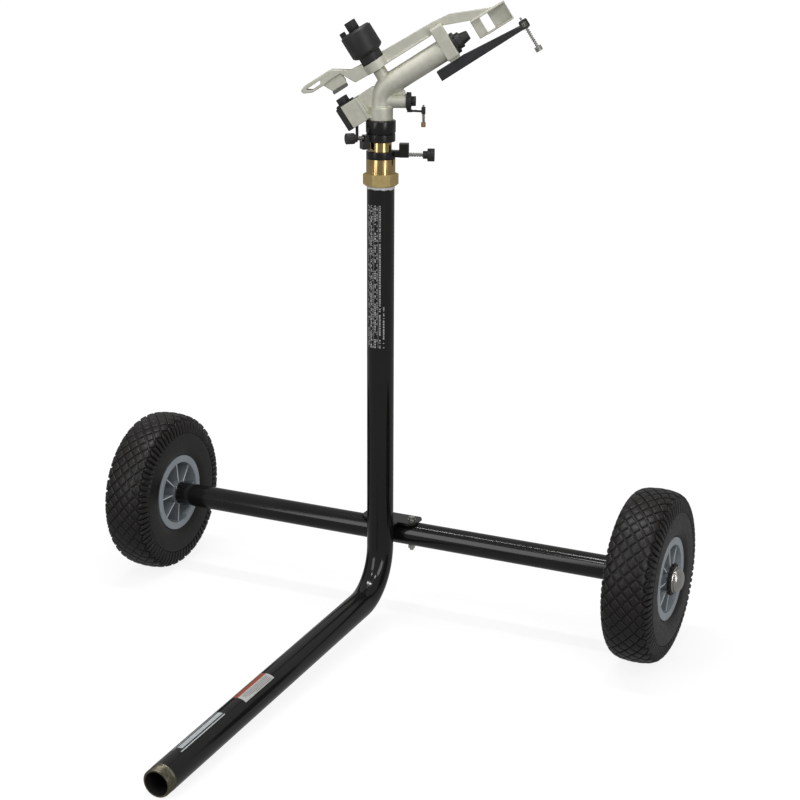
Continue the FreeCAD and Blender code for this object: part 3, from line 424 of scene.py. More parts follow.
EDGE_WIDTHS = {                     # mm
    "axle_bolts": 0.5, "bolt_nuts": 0.5, "spindle_nuts": 0.8, "mounting_plate": 0.6, "main_nozzle": 0.35,
    "side_nozzle_cap": 0.4, "side_nozzle_plug": 0.5, "spring_housing": 0.6, "tension_knob": 0.5,
    "lower_collar_knob": 0.5, "upper_collar_knob": 0.5, "trip_plunger": 0.6, "diffuser_arm": 0.5,
    "jet_arm": 0.5, "trip_box": 0.6,
    "left_hub_ring": 0.3, "right_hub_ring": 0.3, "strike_pad": 0.4, "trip_cover": 0.6,
    "lower_trip_collar": 0.5, "upper_trip_collar": 0.5, "bearing_cover": 0.3, "diffuser_clip": 0.3,
    "bearing_sleeve": 0.25,
}
BEVEL_ANGLE = 32                    # degrees, below which an edge stays as it is
WELD_DISTANCE = 0.002 * MM


# ---------------------------------------------------------------- helpers for pieces
def new_piece(name, vertices, faces, place, body, materials):
    """Smooth-shaded mesh piece at a frame, riding on a body."""
    mesh = bpy.data.meshes.new(name)
    mesh.from_pydata([tuple(v) for v in vertices], [], faces)
    mesh.validate()
    for material in materials:
        mesh.materials.append(material)
    mesh.shade_smooth()
    piece = bpy.data.objects.new(name, mesh)
    SCENE.collection.objects.link(piece)
    piece.matrix_world = place
    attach(piece, body)
    return piece


def facing_out(piece):
    """Turns all faces of a closed piece outwards."""
    mesh = bmesh.new()
    mesh.from_mesh(piece.data)
    bmesh.ops.recalc_face_normals(mesh, faces=mesh.faces)
    mesh.to_mesh(piece.data)
    mesh.free()
    return piece


def sharpen(piece, degrees):
    """Keeps edges steeper than an angle sharp in the shading."""
    piece.data.set_sharp_from_angle(angle=math.radians(degrees))
    return piece


def lathe(name, outline, segments, place, body, material):
    """Closed ring of revolution about z from (radius, height) points; radius 0 closes on the axis."""
    vertices = []
    rings = []
    for r, h in outline:
        if r < 1e-7:
            rings.append([len(vertices)] * segments)
            vertices.append((0, 0, h))
        else:
            rings.append(list(range(len(vertices), len(vertices) + segments)))
            turns = [2 * math.pi * k / segments for k in range(segments)]
            vertices += [(r * math.cos(t), r * math.sin(t), h) for t in turns]
    faces = []
    closed = outline[0][0] > 1e-7
    pairs = list(zip(rings, rings[1:])) + ([(rings[-1], rings[0])] if closed else [])
    for a, b in pairs:
        for k in range(segments):
            n = (k + 1) % segments
            corners = list(dict.fromkeys([a[k], a[n], b[n], b[k]]))
            if len(corners) > 2:
                faces.append(corners)
    return facing_out(new_piece(name, vertices, faces, place, body, [material]))


def softened(node, place, voxel_mm, passes, material):
    """Cast version of a CAD node: every edge and inner corner rounded like a casting's."""
    cad = frame["nodes"][node]
    mesh = cad.data.copy()
    mesh.materials.clear()
    mesh.materials.append(material)
    mesh.transform(place.inverted())
    work = bmesh.new()
    work.from_mesh(mesh)
    bmesh.ops.remove_doubles(work, verts=work.verts, dist=1e-6)
    work.to_mesh(mesh)
    work.free()
    piece = bpy.data.objects.new(node + "_casting", mesh)
    SCENE.collection.objects.link(piece)
    remesh = piece.modifiers.new("cast_skin", "REMESH")
    remesh.mode = "VOXEL"
    remesh.voxel_size = voxel_mm * MM
    remesh.use_smooth_shade = True
    smooth = piece.modifiers.new("rounded", "SMOOTH")
    smooth.factor = 0.5
    smooth.iterations = passes
    cast = bpy.data.meshes.new_from_object(piece.evaluated_get(bpy.context.evaluated_depsgraph_get()))
    cast.transform(place)
    piece.modifiers.clear()
    piece.data = cast
    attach(piece, cad["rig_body"])
    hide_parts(node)
    return piece


def finish_cad_nodes():
    """Materials for the CAD nodes that are shown, with worn-in edges on the ones that have them."""
    for material, nodes in CAD_MATERIALS.items():
        for node in nodes:
            piece = frame["nodes"][node]
            piece.data.materials.clear()
            piece.data.materials.append(material)
            if node in EDGE_WIDTHS:
                weld = piece.modifiers.new("weld", "WELD")
                weld.merge_threshold = WELD_DISTANCE
                bevel = piece.modifiers.new("edges", "BEVEL")
                bevel.width = EDGE_WIDTHS[node] * MM
                bevel.segments = 2
                bevel.limit_method = "ANGLE"
                bevel.angle_limit = math.radians(BEVEL_ANGLE)
                bevel.harden_normals = True


# ---------------------------------------------------------------- tyres
TREAD_COUNT = 38            # diamonds round the tyre
TREAD_STEP = 19.3           # mm across the tread from one diamond to the next
TREAD_ROWS = 1.5            # middle of the outermost whole diamonds, in steps
GROOVE = 1.05               # half the width of a groove, mm
SHOULDER_GROOVE = 1.85      # the same between the shoulder lugs, two to each diamond
CROWN_DEPTH = 2.3           # depth of the grooves between the diamonds
GROOVE_DEPTH = 4.2          # the same between the shoulder lugs
BLOCK_FOOT = 0.4            # how far a block reaches under the floor of its grooves
BLOCK_BEVEL = 0.9           # width of the rounding round a block's top
SHOULDER_FADE = 3.2         # length over which the grooves run out at the shoulder
SIDEWALL_STEP = 0.9         # how far the sidewall lies below the shoulder blocks
STEP_FADE = 9.0             # length over which that step runs out
EDGE_RIB = (2.2, 0.8, 0.55)         # distance from the shoulder, half width and height of a raised line
SIDE_LINE = (26.0, 0.7, 0.35)       # the same for the line on the sidewall
TYRE_SECTION = [(134.3, 0), (134.1, 6), (133.4, 14), (131.5, 24), (126.6, 32.4), (117.5, 37.0),
                (104.5, 38.7), (88, 39.0), (74, 37.6), (66.5, 34.4), (63.5, 31.5)]


def smooth_line(points, per_span):
    """Catmull-Rom line through points."""
    p = [np.array(q, float) for q in points]
    p = [2 * p[0] - p[1]] + p + [2 * p[-1] - p[-2]]
    line = []
    for a, b, c, d in zip(p, p[1:], p[2:], p[3:]):
        for k in range(per_span):
            t = k / per_span
            line.append(0.5 * (2 * b + (c - a) * t + (2 * a - 5 * b + 4 * c - d) * t**2
                               + (3 * b - a - 3 * c + d) * t**3))
    line.append(p[-2])
    return np.array(line)


class TyreSection:
    """Outer line of the tyre's section by distance from the crown, mirrored to both sides."""

    def __init__(self):
        self.line = smooth_line(TYRE_SECTION, 12)
        steps = np.linalg.norm(np.diff(self.line, axis=0), axis=1)
        self.reach = np.concatenate([[0], np.cumsum(steps)])
        self.shoulder = float(np.interp(-103.5, -self.line[:, 0], self.reach))
        self.bead = self.reach[-1]

    def point(self, s, inset=0.0):
        """(radius, height) in mm at a signed distance from the crown, moved inwards by inset."""
        side = -1.0 if s < 0 else 1.0
        d = min(abs(s), self.bead)
        r, h = (np.interp(d, self.reach, self.line[:, i]) for i in (0, 1))
        r2, h2 = (np.interp(min(d + 0.5, self.bead), self.reach, self.line[:, i]) for i in (0, 1))
        r1, h1 = (np.interp(max(d - 0.5, -self.bead), self.reach, self.line[:, i]) for i in (0, 1))
        along = np.array([r2 - r1, h2 - h1])
        if d < 0.5:
            along = np.array([0.0, 1.0])
        along = along / np.linalg.norm(along)
        out = np.array([along[1], -along[0]])
        return r - out[0] * inset, side * (h - out[1] * inset)


def inset_outline(corners, distances):
    """Moves each edge of a convex anticlockwise outline inwards by its own distance."""
    moved = []
    count = len(corners)
    for k in range(count):
        a, b = np.array(corners[k]), np.array(corners[(k + 1) % count])
        d = (b - a) / np.linalg.norm(b - a)
        moved.append((a + np.array([-d[1], d[0]]) * distances[k], d))
    inner = []
    for k in range(count):
        (p, d), (q, e) = moved[k - 1], moved[k]
        t = np.linalg.solve(np.array([[d[0], -e[0]], [d[1], -e[1]]]), q - p)[0]
        inner.append(p + d * t)
    return inner


def limited(share):
    """The nearest value between 0 and 1."""
    return min(1.0, max(0.0, share))


def split_edges(corners, parts):
    """Adds evenly spaced points along each edge of an outline."""
    points = []
    for k, a in enumerate(corners):
        b = corners[(k + 1) % len(corners)]
        points += [np.array(a) + (np.array(b) - np.array(a)) * j / parts for j in range(parts)]
    return points


def tread_blocks(section):
    """Outlines of the blocks in mm (round the tyre, across it), with each edge's groove distance."""
    pitch = 2 * math.pi * TYRE_SECTION[0][0] / TREAD_COUNT
    half = pitch / 2
    step = TREAD_STEP
    blocks = []
    for k in range(TREAD_COUNT):
        for row in np.arange(-TREAD_ROWS, TREAD_ROWS + 0.25, 0.5):
            x = pitch * (k + (0.5 if round(row * 2) % 2 else 0.0))
            y = step * row
            corners = [(x - half, y), (x, y - step / 2), (x + half, y), (x, y + step / 2)]
            blocks.append((corners, [GROOVE] * 4))
        for side in (-1, 1):
            y = side * step * (TREAD_ROWS + 0.5)
            x = pitch * k
            end = side * section.shoulder
            for lean in (-1, 1):
                corners = [(x, y - side * step / 2), (x + lean * half, y), (x + lean * half, end), (x, end)]
                distances = [GROOVE, SHOULDER_GROOVE, 0.0, SHOULDER_GROOVE]
                if side * lean < 0:
                    corners = [corners[0]] + corners[:0:-1]
                    distances = distances[::-1]
                blocks.append((corners, distances))
    return blocks


def tyre(side):
    """Tyre with a smooth sidewall, a raised line at its edge, and separate diamonds and lugs on the tread."""
    section = TyreSection()
    crown = TYRE_SECTION[0][0]
    segments = TREAD_COUNT * 5
    vertices = []
    faces = []

    def place(x, y, inset):
        r, h = section.point(y, inset)
        turn = x / crown
        return (r * math.cos(turn) * MM, r * math.sin(turn) * MM, h * MM)

    def groove_floor(s):
        """Depth of the tyre's skin between the blocks, by distance from the crown."""
        beyond = abs(s) - section.shoulder
        fade = limited((0.6 - beyond) / SHOULDER_FADE)
        step = SIDEWALL_STEP * limited(1 - beyond / STEP_FADE)
        raised = sum(height * math.exp(-((beyond - reach) / half_width) ** 2)
                     for reach, half_width, height in (EDGE_RIB, SIDE_LINE))
        outward = limited((abs(s) - TREAD_ROWS * TREAD_STEP) / TREAD_STEP)
        depth = CROWN_DEPTH + (GROOVE_DEPTH - CROWN_DEPTH) * outward
        return depth * fade + max(step, 0.4) * (1 - fade) - raised

    inner = [(61.0, 31.0), (57.0, 30.9), (57.0, 0.0)]
    across = np.concatenate([np.linspace(0, section.shoulder, 26)[:-1],
                             np.linspace(section.shoulder, section.shoulder + 5, 12)[:-1],
                             np.linspace(section.shoulder + 5, section.bead, 30)])
    ring = [section.point(s, groove_floor(s)) for s in across]
    ring += inner
    ring = [(r, -h) for r, h in reversed(ring[1:-1])] + ring
    for r, h in ring:
        turns = [2 * math.pi * k / segments for k in range(segments)]
        vertices += [(r * math.cos(t) * MM, r * math.sin(t) * MM, h * MM) for t in turns]
    for j in range(len(ring)):
        a, b = j * segments, ((j + 1) % len(ring)) * segments
        faces += [(a + k, a + (k + 1) % segments, b + (k + 1) % segments, b + k) for k in range(segments)]

    for corners, distances in tread_blocks(section):
        base = split_edges(inset_outline(corners, [d - 0.35 if d else 0 for d in distances]), 4)
        wall = split_edges(inset_outline(corners, distances), 4)
        top = split_edges(inset_outline(corners, [d + BLOCK_BEVEL if d else 0.3 for d in distances]), 4)
        middle = np.mean(top, axis=0)
        levels = [(base, GROOVE_DEPTH + BLOCK_FOOT), (wall, 1.1), (top, 0.22),
                  ([middle + (p - middle) * 0.66 for p in top], 0.06),
                  ([middle + (p - middle) * 0.33 for p in top], 0.0)]
        count = len(base)
        start = len(vertices)
        for outline, inset in levels:
            vertices += [place(x, y, inset) for x, y in outline]
        vertices.append(place(middle[0], middle[1], 0.0))
        for level in range(len(levels) - 1):
            a = start + level * count
            faces += [(a + k, a + (k + 1) % count, a + count + (k + 1) % count, a + count + k)
                      for k in range(count)]
        a = start + (len(levels) - 1) * count
        faces += [(a + k, a + (k + 1) % count, start + len(levels) * count) for k in range(count)]
        faces.append(tuple(range(start + count - 1, start - 1, -1)))
    piece = new_piece(side + "_tread_tyre", vertices, faces, wheel_frame(side), side + "_wheel",
                      [RUBBER])
    facing_out(piece)
    sharpen(piece, 50)
    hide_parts(side + "_tyre")
    return piece


# ---------------------------------------------------------------- rims
RIM_SECTION = [(56.0, -31.2), (64.6, -31.2), (64.6, -34.8), (52.5, -34.8),
               (52.5, 34.8), (64.6, 34.8), (64.6, 31.2), (56.0, 31.2)]
HUB_SECTION = [(53.2, -3.0), (53.2, 3.0), (20.5, 3.0), (20.5, 35.1), (15.6, 35.1),
               (15.6, -35.1), (20.5, -35.1), (20.5, -3.0)]
RIB_COUNT = 8
RIB_FEET = (19.8, 53.2)             # distances of a rib's two ends from the axle, mm
RIB_TOPS = (33.0, 30.0)             # its heights above the wheel's middle plane there
RIB_HALF_THICK = 1.1
RIB_DRAFT = 1.25                    # thickness of a rib's foot as a multiple of the rest


def rounded(outline, radius, steps=4):
    """Closed outline with each corner replaced by a small curve."""
    points = []
    count = len(outline)
    for k in range(count):
        corner = Vector(outline[k])
        before = (Vector(outline[k - 1]) - corner)
        after = (Vector(outline[(k + 1) % count]) - corner)
        cut = min(radius, before.length * 0.45, after.length * 0.45)
        start = corner + before.normalized() * cut
        end = corner + after.normalized() * cut
        for j in range(steps + 1):
            t = j / steps
            points.append(start * (1 - t) ** 2 + corner * 2 * t * (1 - t) + end * t**2)
    return points


def lathe_mesh(outline, segments, vertices, faces):
    """Adds the closed ring of revolution of an outline in mm to a mesh."""
    start = len(vertices)
    for r, h in outline:
        turns = [2 * math.pi * k / segments for k in range(segments)]
        vertices += [(r * math.cos(t) * MM, r * math.sin(t) * MM, h * MM) for t in turns]
    for j in range(len(outline)):
        a = start + j * segments
        b = start + ((j + 1) % len(outline)) * segments
        faces += [(a + k, a + (k + 1) % segments, b + (k + 1) % segments, b + k) for k in range(segments)]


def rim(side):
    """Rim: a rounded ring, the hub with its web, and thin drafted ribs on both faces of the web; hub, web and
    ribs are coloured darker as painted shade, and the rib tops paler as painted highlight.
    """
    vertices = []
    faces = []
    rib_tops = []
    lathe_mesh(rounded(RIM_SECTION, 1.1), 128, vertices, faces)
    ring_faces = len(faces)
    lathe_mesh(rounded(HUB_SECTION, 1.3), 96, vertices, faces)
    half = RIB_HALF_THICK
    for k in range(RIB_COUNT):
        turn = 2 * math.pi * k / RIB_COUNT
        for face in (-1, 1):
            start = len(vertices)
            for r, top in zip(RIB_FEET, RIB_TOPS):
                right = [(half * 0.3, top), (half * 0.75, top - 0.2), (half, top - 0.7),
                         (half * RIB_DRAFT, 0)]
                section = [(-w, h) for w, h in reversed(right)] + right
                vertices += [((r * math.cos(turn) - w * math.sin(turn)) * MM,
                              (r * math.sin(turn) + w * math.cos(turn)) * MM,
                              face * h * MM) for w, h in section]
            # faces along each rib's top, which get the painted highlight
            rib_tops += [len(faces) + j for j in (1, 2, 3, 4, 5)]
            count = len(section)
            end = start + count
            faces += [(start + j, start + (j + 1) % count, end + (j + 1) % count, end + j)
                      for j in range(count)]
            faces.append(tuple(range(start, end)))
            faces.append(tuple(range(end, end + count)))
    piece = new_piece(side + "_ribbed_rim", vertices, faces, wheel_frame(side), side + "_wheel",
                      [RIM, RIM_WEB_PAINTED_SHADE, RIM_RIB_PAINTED_HIGHLIGHT])
    # index 1 is the painted shade of the hub, web and ribs, index 2 the painted highlight of the rib tops
    shades = [0] * ring_faces + [1] * (len(faces) - ring_faces)
    for index in rib_tops:
        shades[index] = 2
    piece.data.polygons.foreach_set("material_index", shades)
    facing_out(piece)
    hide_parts(side + "_rim")
    return sharpen(piece, 45)


# ---------------------------------------------------------------- hub caps
CAP_WALL = 1.2 * MM
CAP_LIP = 3.6 * MM                  # the dome starts this far above the cap's edge
CAP_STEPS = 24


def hub_cap(side):
    """Chromed dome with a rolled lip, hollow inside."""
    node = side + "_hub_cap"
    low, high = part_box(node)
    wheel = wheel_frame(side)
    reach = [abs(x - wheel.translation.x) for x in (low.x, high.x)]
    base, top = min(reach), max(reach)
    radius = (high.z - low.z) / 2
    shoulder = base + CAP_LIP
    dome = []
    for k in range(CAP_STEPS):
        turn = math.pi / 2 * k / CAP_STEPS
        dome.append((radius * 0.95 * math.cos(turn) ** 0.8, shoulder + (top - shoulder) * math.sin(turn)))
    dome.append((0.0, top))
    lip = [(radius - 1.2 * MM, base), (radius - 0.3 * MM, base + 0.3 * MM), (radius, base + 1.2 * MM),
           (radius - 0.2 * MM, base + 2.3 * MM), (radius * 0.955, base + 2.9 * MM)]
    inside = [(max(0.0, r - CAP_WALL), h - CAP_WALL * 0.8) for r, h in dome[:-1]] + [(0.0, top - CAP_WALL)]
    outline = dome[::-1] + lip[::-1] + [(radius - 2.2 * MM, base)] + inside
    piece = lathe(node + "_dome", outline, 96, wheel, side + "_wheel", CHROME)
    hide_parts(node)
    return sharpen(piece, 60)


# ---------------------------------------------------------------- brass hexagon
HEX_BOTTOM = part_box("bearing_sleeve")[0].z
HEX_HEIGHT = 18.6 * MM


def dull_hexagon():
    """Gives the sleeve's hexagon its tumbled skin; the round part above it stays turned."""
    sleeve = frame["nodes"]["bearing_sleeve"].data
    sleeve.materials.append(HEX_BRASS)
    for face in sleeve.polygons:
        face.material_index = 1 if face.center.z < HEX_BOTTOM + HEX_HEIGHT else 0


# ---------------------------------------------------------------- pipes
PIPE_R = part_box("riser_pipe")[1].x
PIPE_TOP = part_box("riser_pipe")[1].z
TAPE_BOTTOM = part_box("ptfe_tape")[0].z
TAPE_SHOWS = TAPE_BOTTOM + 2.8 * MM         # the paint runs up to here, under the tape's torn edge
TAPE_THICKNESS = 0.28 * MM
BORE_R = 17.55 * MM
BEND_R = 78 * MM
THREAD_PITCH = 25.4 / 11.5 * MM
THREAD_DEPTH = 1.25 * MM
THREAD_RUNOUT = 2.2 * THREAD_PITCH
LEAD_CHAMFER = 1.3 * MM
PIPE_SEGMENTS = 96                  # faces round the pipe
THREAD_RINGS = 94                   # rings of vertices along the thread, the leg, the bend and the riser
LEG_RINGS = 24
BEND_RINGS = 28
RISER_RINGS = 30


def pipe_stations():
    """Centre points, directions and distances from the leg's end, from the leg's end to the top."""
    up_leg = -LEG_AXIS
    slope = math.asin(up_leg.z)
    turn = math.pi / 2 - slope
    corner = LEG_END + up_leg * ((SWIVEL.y - LEG_END.y) / up_leg.y)
    tangent = BEND_R * math.tan(turn / 2)
    bend_start = corner - up_leg * tangent
    centre = bend_start + Vector((0, -math.sin(slope), math.cos(slope))) * BEND_R
    leg_length = (bend_start - LEG_END).length
    stations = []
    for k in range(THREAD_RINGS + 1):
        d = THREAD_LENGTH * k / THREAD_RINGS
        stations.append((LEG_END + up_leg * d, up_leg, d))
    for k in range(1, LEG_RINGS + 1):
        d = THREAD_LENGTH + (leg_length - THREAD_LENGTH) * k / LEG_RINGS
        stations.append((LEG_END + up_leg * d, up_leg, d))
    for k in range(1, BEND_RINGS + 1):
        angle = turn * k / BEND_RINGS
        direction = Vector((0, math.cos(slope + angle), math.sin(slope + angle)))
        out = Vector((0, math.sin(slope + angle), -math.cos(slope + angle)))
        stations.append((centre + out * BEND_R, direction, leg_length + BEND_R * angle))
    bend_top = stations[-1][0]
    for z in [*np.linspace(bend_top.z, TAPE_SHOWS, RISER_RINGS)[1:], TAPE_SHOWS + 0.2 * MM, PIPE_TOP]:
        point = Vector((SWIVEL.x, SWIVEL.y, z))
        stations.append((point, UP, leg_length + BEND_R * turn + z - bend_top.z))
    return stations


def thread_radius(d, turn):
    """Outer radius in the leg's threaded end: a rolled thread that runs out at the paint."""
    phase = (d / THREAD_PITCH - turn / (2 * math.pi)) % 1.0
    depth = THREAD_DEPTH * (1 - abs(2 * phase - 1) * 1.15)
    depth = max(0.0, min(THREAD_DEPTH, depth))
    runout = limited((THREAD_LENGTH - d) / THREAD_RUNOUT)
    lead = max(0.0, LEAD_CHAMFER - d) * 0.9
    return THREAD_R - max(depth * runout, lead)


def riser_pipe():
    """One bent pipe: thread, leg, bend and riser, hollow from end to end."""
    segments = PIPE_SEGMENTS
    painted, threaded, inner = range(3)
    vertices = []
    surfaces = []
    faces = []
    stations = pipe_stations()
    top = len(stations) - 1

    def ring(centre, direction, radius_at):
        side = Vector((1, 0, 0))
        other = direction.cross(side)
        for k in range(segments):
            turn = 2 * math.pi * k / segments
            vertices.append(centre + (side * math.cos(turn) + other * math.sin(turn)) * radius_at(turn))

    for index, (centre, direction, d) in enumerate(stations):
        if d < THREAD_LENGTH - 1e-6:
            ring(centre, direction, lambda turn: thread_radius(d, turn))
        elif index >= top - 1:
            ring(centre, direction, lambda turn: THREAD_R)
        else:
            ring(centre, direction, lambda turn: PIPE_R)
    for centre, direction, d in reversed(stations[::3] + [stations[-1]]):
        ring(centre, direction, lambda turn: BORE_R)
    count = len(vertices) // segments
    for j in range(count):
        a, b = j * segments, ((j + 1) % count) * segments
        if j == count - 1:
            surface = threaded              # the ring-shaped face at the leg's end
        elif j > top:
            surface = inner
        else:
            surface = threaded if stations[j][2] < THREAD_LENGTH else painted
        faces += [(a + k, a + (k + 1) % segments, b + (k + 1) % segments, b + k) for k in range(segments)]
        surfaces += [surface] * segments
    piece = new_piece("riser_pipe_threaded", vertices, faces, Matrix.Identity(4), "frame",
                      [PAINT, THREAD, BORE])
    piece.data.polygons.foreach_set("material_index", surfaces)
    facing_out(piece)
    sharpen(piece, 40)
    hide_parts("riser_pipe")
    return piece


def thread_tape_ring():
    """Tape that shows under the brass hexagon, with a torn lower edge."""
    segments = 160
    rng = np.random.default_rng(7)
    waves = [(n, rng.uniform(0.1, 0.6) / math.sqrt(n), rng.uniform(0, 6.28)) for n in range(2, 23)]
    outer = PIPE_R + TAPE_THICKNESS
    section = [(0, PIPE_R + 0.02 * MM), (0, outer), (0.35, outer + 0.1 * MM), (1, outer - 0.05 * MM),
               (1, THREAD_R)]
    vertices = []
    for level, radius in section:
        for k in range(segments):
            turn = 2 * math.pi * k / segments
            torn = sum(a * math.sin(n * turn + p) for n, a, p in waves) * MM
            low = TAPE_SHOWS - 0.4 * MM + torn
            z = low + (HEX_BOTTOM + 0.2 * MM - low) * level
            vertices.append((radius * math.cos(turn), radius * math.sin(turn), z))
    faces = []
    for j in range(len(section)):
        a, b = j * segments, ((j + 1) % len(section)) * segments
        faces += [(a + k, a + (k + 1) % segments, b + (k + 1) % segments, b + k) for k in range(segments)]
    piece = new_piece("thread_tape_ring", vertices, faces, RISER, "frame", [TAPE])
    facing_out(piece)
    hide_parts("ptfe_tape")
    return piece


def weld_bead():
    """Rippled bead between the riser and the plate."""
    plate_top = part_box("mounting_plate")[1].z
    bead = 3.0 * MM
    start, sweep = math.radians(12), math.radians(156)
    along, around = 130, 14
    vertices = []
    faces = []
    for j in range(along + 1):
        share = j / along
        turn = start + share * sweep
        ripple = 1 + 0.07 * math.sin(share * 150) + 0.05 * math.sin(share * 37 + 1)
        end = min(1.0, 6 * share + 0.25, 6 * (1 - share) + 0.25)
        for k in range(around):
            a = 2 * math.pi * k / around
            r = PIPE_R + bead * ripple * end * math.cos(a) * 0.95
            z = plate_top + bead * ripple * end * math.sin(a) * 0.95
            vertices.append((SWIVEL.x + r * math.cos(turn), SWIVEL.y + r * math.sin(turn), z))
    for j in range(along):
        a, b = j * around, (j + 1) * around
        faces += [(a + k, a + (k + 1) % around, b + (k + 1) % around, b + k) for k in range(around)]
    faces.append(tuple(range(around)))
    faces.append(tuple(along * around + k for k in range(around)))
    piece = new_piece("weld_bead", vertices, faces, Matrix.Identity(4), "frame", [PAINT])
    facing_out(piece)
    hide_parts("plate_weld")
    return piece


# ---------------------------------------------------------------- plain print and stickers
STICKER_THICKNESS = 0.12 * MM


def wrapped_patches(name, place, patches, thickness, material):
    """Thin raised patches on the pipe along z: each is (start angle, end angle, start z, end z)."""
    radius = PIPE_R - 0.02 * MM
    vertices = []
    faces = []
    for start, end, z0, z1 in patches:
        steps = max(1, round((end - start) / math.radians(6)))
        base = len(vertices)
        for k in range(steps + 1):
            turn = start + (end - start) * k / steps
            for r, z in ((radius, z0), (radius + thickness, z0), (radius + thickness, z1), (radius, z1)):
                vertices.append((r * math.cos(turn), r * math.sin(turn), z))
        for k in range(steps):
            a, b = base + 4 * k, base + 4 * k + 4
            faces += [(a + j, a + (j + 1) % 4, b + (j + 1) % 4, b + j) for j in range(4)]
        last = base + 4 * steps
        faces.append((base, base + 1, base + 2, base + 3))
        faces.append((last + 3, last + 2, last + 1, last))
    piece = facing_out(new_piece(name, vertices, faces, place, "frame", [material]))
    return sharpen(piece, 30)


def riser_print():
    """Panel of plain short dashes on the riser's front, in columns; the last one is short."""
    low, high, short = 456 * MM, 679 * MM, 522 * MM
    rng = np.random.default_rng(3)
    patches = []

    def column(start, end):
        """Two angles on the riser, from angles in degrees that count from its front."""
        return math.radians(start - 90), math.radians(end - 90)

    # each column: its two angles, the usual length of a dash in mm, the share that is printed, its top
    columns = [(-36, -33.5, 2.0, 0.4, high), (-31, -27.5, 2.0, 0.6, high), (-24, -21, 1.6, 0.5, high),
               (-17.5, -12.5, 1.6, 0.75, high), (-9, -6, 1.4, 0.6, high), (0, 6, 1.6, 0.75, high),
               (9.5, 12.5, 1.6, 0.5, high), (20, 26.5, 1.3, 0.9, high), (36.5, 42.5, 1.6, 0.8, short)]
    for start, end, dash, share, top in columns:
        z = low
        while z < top:
            length = dash * rng.uniform(0.5, 2.2) * MM
            if rng.uniform() < share:
                patches.append((*column(start, end), z, min(top, z + length)))
            z += length + rng.uniform(0.6, 1.6) * MM
    for line in (-19, -3, 15.5):
        patches.append((*column(line - 0.5, line + 0.5), low, high))
    return wrapped_patches("riser_print_dashes", RISER_UPRIGHT, patches, 0.06 * MM, INK)


def leg_stickers():
    """Blank stickers on the leg: a two-tone one, and a silver one nearer the thread."""
    side = Vector((1, 0, 0))
    place = frame_of(side, LEG_AXIS.cross(side), LEG_AXIS, LEG_END)
    white = sticker_film("sticker_white", (0.48, 0.48, 0.47), (0.6, 0.6, 0.58))
    red = sticker_film("sticker_red", (0.3, 0.062, 0.03), (0.4, 0.09, 0.045))
    silver = sticker_film("sticker_silver", (0.4, 0.43, 0.44), (0.58, 0.61, 0.62))
    # each piece: its two angles in degrees, and its two distances from the leg's end in mm
    stickers = [("leg_sticker_field", white, 54, 92, 214, 295), ("leg_sticker_band", red, 92, 115, 214, 295),
                ("leg_sticker_bar", silver, 73, 78, 55, 168), ("leg_sticker_panel", silver, 84, 104, 62, 168),
                ("leg_sticker_rule", silver, 110, 113, 55, 168)]
    for name, film, start, end, near, far in stickers:
        patch = (math.radians(start), math.radians(end), -far * MM, -near * MM)
        wrapped_patches(name, place, [patch], STICKER_THICKNESS, film)
    grey = sticker_film("sticker_rule_grey", (0.1, 0.1, 0.1), (0.16, 0.16, 0.16))
    rules = [(math.radians(turn), math.radians(turn + 2.2), -290 * MM, -(220 + indent) * MM)
             for turn, indent in ((59, 26), (65, 8), (71, 2), (77, 0), (83, 0))]
    wrapped_patches("leg_sticker_rules", place, rules, STICKER_THICKNESS + 0.04 * MM, grey)


# ---------------------------------------------------------------- build
finish_cad_nodes()
dull_hexagon()
for wheel_side in SIDES:
    tyre(wheel_side)
    rim(wheel_side)
    hub_cap(wheel_side)
riser_pipe()
thread_tape_ring()
weld_bead()
riser_print()
leg_stickers()
for casting, voxel_mm, passes in (("gun_body", 0.8, 4), ("drive_arm", 0.6, 3), ("deflector_vane", 0.35, 2)):
    softened(casting, GUN, voxel_mm, passes, CAST)


# ---------------------------------------------------------------- stage
CAMERA_PLACE = Vector((1.20886, -2.21947, 1.20228))
CAMERA_BACK = Vector((0.41150586, -0.8635938, 0.29132228))
CAMERA_UP = Vector((-0.12971714, 0.26089058, 0.9566136))
LENS_MM = 82.155
SENSOR_MM = 36.0
FLOOR_HALF_SIZE = 40.0
OBJECT_MIDDLE = Vector((0, 0, 0.5))
AMBIENT_FRONT = 0.3
AMBIENT_BACK = 0.34
STRIP_PLACE = (-0.2, 0.2, 3.0)      # the strip's long side runs along the axle


def camera():
    """Camera at the photographed viewing angle."""
    data = bpy.data.cameras.new("camera")
    data.lens = LENS_MM
    data.sensor_width = SENSOR_MM
    piece = bpy.data.objects.new("camera", data)
    SCENE.collection.objects.link(piece)
    back = CAMERA_BACK.normalized()
    right = CAMERA_UP.cross(back).normalized()
    piece.matrix_world = frame_of(right, back.cross(right), back, CAMERA_PLACE)
    SCENE.camera = piece


def area_light(name, width, height, power):
    """Rectangular light that shines straight down."""
    data = bpy.data.lights.new(name, "AREA")
    data.shape = "RECTANGLE"
    data.size = width
    data.size_y = height
    data.energy = power
    lamp = bpy.data.objects.new(name, data)
    SCENE.collection.objects.link(lamp)
    return lamp


def softbox(name, azimuth, elevation, distance, width, height, power):
    """Area light that looks at the object's middle; azimuth is from the camera's, to the right."""
    lamp = area_light(name, width, height, power)
    camera_azimuth = math.atan2(CAMERA_BACK.y, CAMERA_BACK.x)
    turn = camera_azimuth + math.radians(azimuth)
    rise = math.radians(elevation)
    back = Vector((math.cos(turn) * math.cos(rise), math.sin(turn) * math.cos(rise), math.sin(rise)))
    lamp.location = OBJECT_MIDDLE + back * distance
    lamp.rotation_mode = "QUATERNION"
    lamp.rotation_quaternion = (-back).to_track_quat("-Z", "Y")


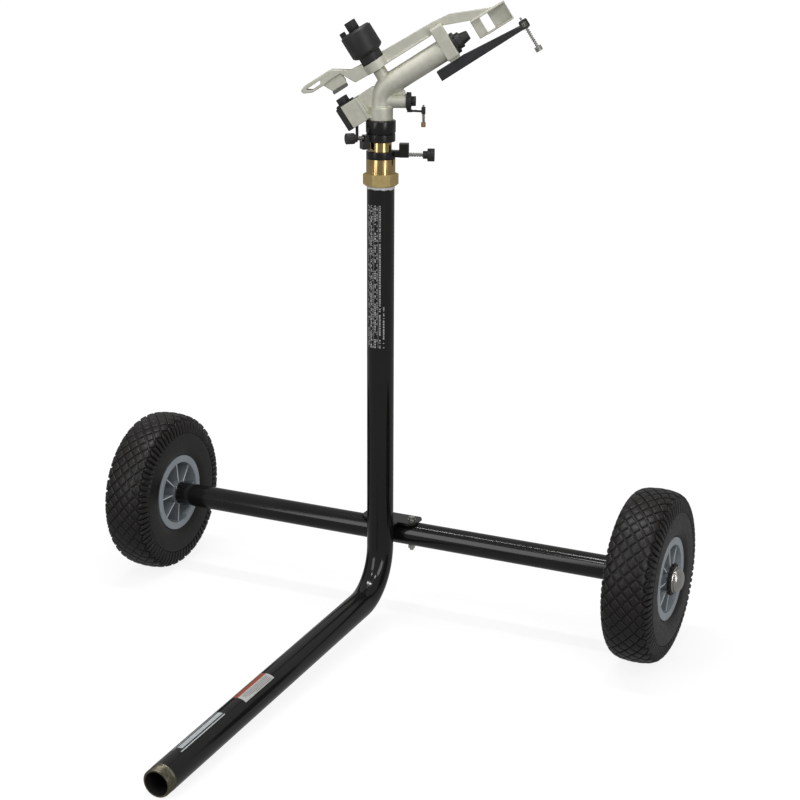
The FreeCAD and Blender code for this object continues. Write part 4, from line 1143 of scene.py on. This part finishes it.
def world():
    """Room light that is seen as white, and lights the object a little more from behind."""
    sky = bpy.data.worlds.new("studio")
    SCENE.world = sky
    sky.use_nodes = True
    nodes, links = sky.node_tree.nodes, sky.node_tree.links
    nodes.clear()
    output = nodes.new("ShaderNodeOutputWorld")
    seen = nodes.new("ShaderNodeBackground")
    seen.inputs["Color"].default_value = (1, 1, 1, 1)
    lit = nodes.new("ShaderNodeBackground")
    lit.inputs["Color"].default_value = (1, 1, 1, 1)
    direction = nodes.new("ShaderNodeTexCoord").outputs["Generated"]
    towards = nodes.new("ShaderNodeVectorMath")
    towards.operation = "DOT_PRODUCT"
    towards.inputs[1].default_value = (-CAMERA_BACK.x, -CAMERA_BACK.y, 0.0)
    room = nodes.new("ShaderNodeMapRange")
    room.inputs["From Min"].default_value = -0.2
    room.inputs["From Max"].default_value = 0.9
    room.inputs["To Min"].default_value = AMBIENT_FRONT
    room.inputs["To Max"].default_value = AMBIENT_BACK
    links.new(direction, towards.inputs[0])
    links.new(towards.outputs["Value"], room.inputs["Value"])
    links.new(room.outputs["Result"], lit.inputs["Strength"])
    ray = nodes.new("ShaderNodeLightPath")
    mix = nodes.new("ShaderNodeMixShader")
    links.new(ray.outputs["Is Camera Ray"], mix.inputs["Fac"])
    links.new(lit.outputs[0], mix.inputs[1])
    links.new(seen.outputs[0], mix.inputs[2])
    links.new(mix.outputs[0], output.inputs["Surface"])


def floor():
    """Wide pale floor that lights nothing by itself."""
    mesh = bpy.data.meshes.new("floor")
    grid = bmesh.new()
    bmesh.ops.create_grid(grid, x_segments=8, y_segments=8, size=FLOOR_HALF_SIZE)
    grid.to_mesh(mesh)
    grid.free()
    mesh.materials.append(studio_floor())
    piece = bpy.data.objects.new("floor", mesh)
    SCENE.collection.objects.link(piece)
    piece.visible_glossy = False
    piece.visible_diffuse = False


camera()
world()
floor()
softbox("softbox_left", azimuth=-50, elevation=20, distance=2.6, width=1.0, height=2.0, power=15)
softbox("softbox_right", azimuth=35, elevation=18, distance=2.8, width=0.9, height=2.0, power=18)
softbox("lamp_left", azimuth=-44, elevation=56, distance=2.8, width=0.35, height=0.35, power=5)
softbox("lamp_right", azimuth=26, elevation=54, distance=2.8, width=0.35, height=0.35, power=6)
area_light("strip_top", width=1.9, height=0.2, power=28).location = STRIP_PLACE
SCENE.view_settings.view_transform = "Standard"
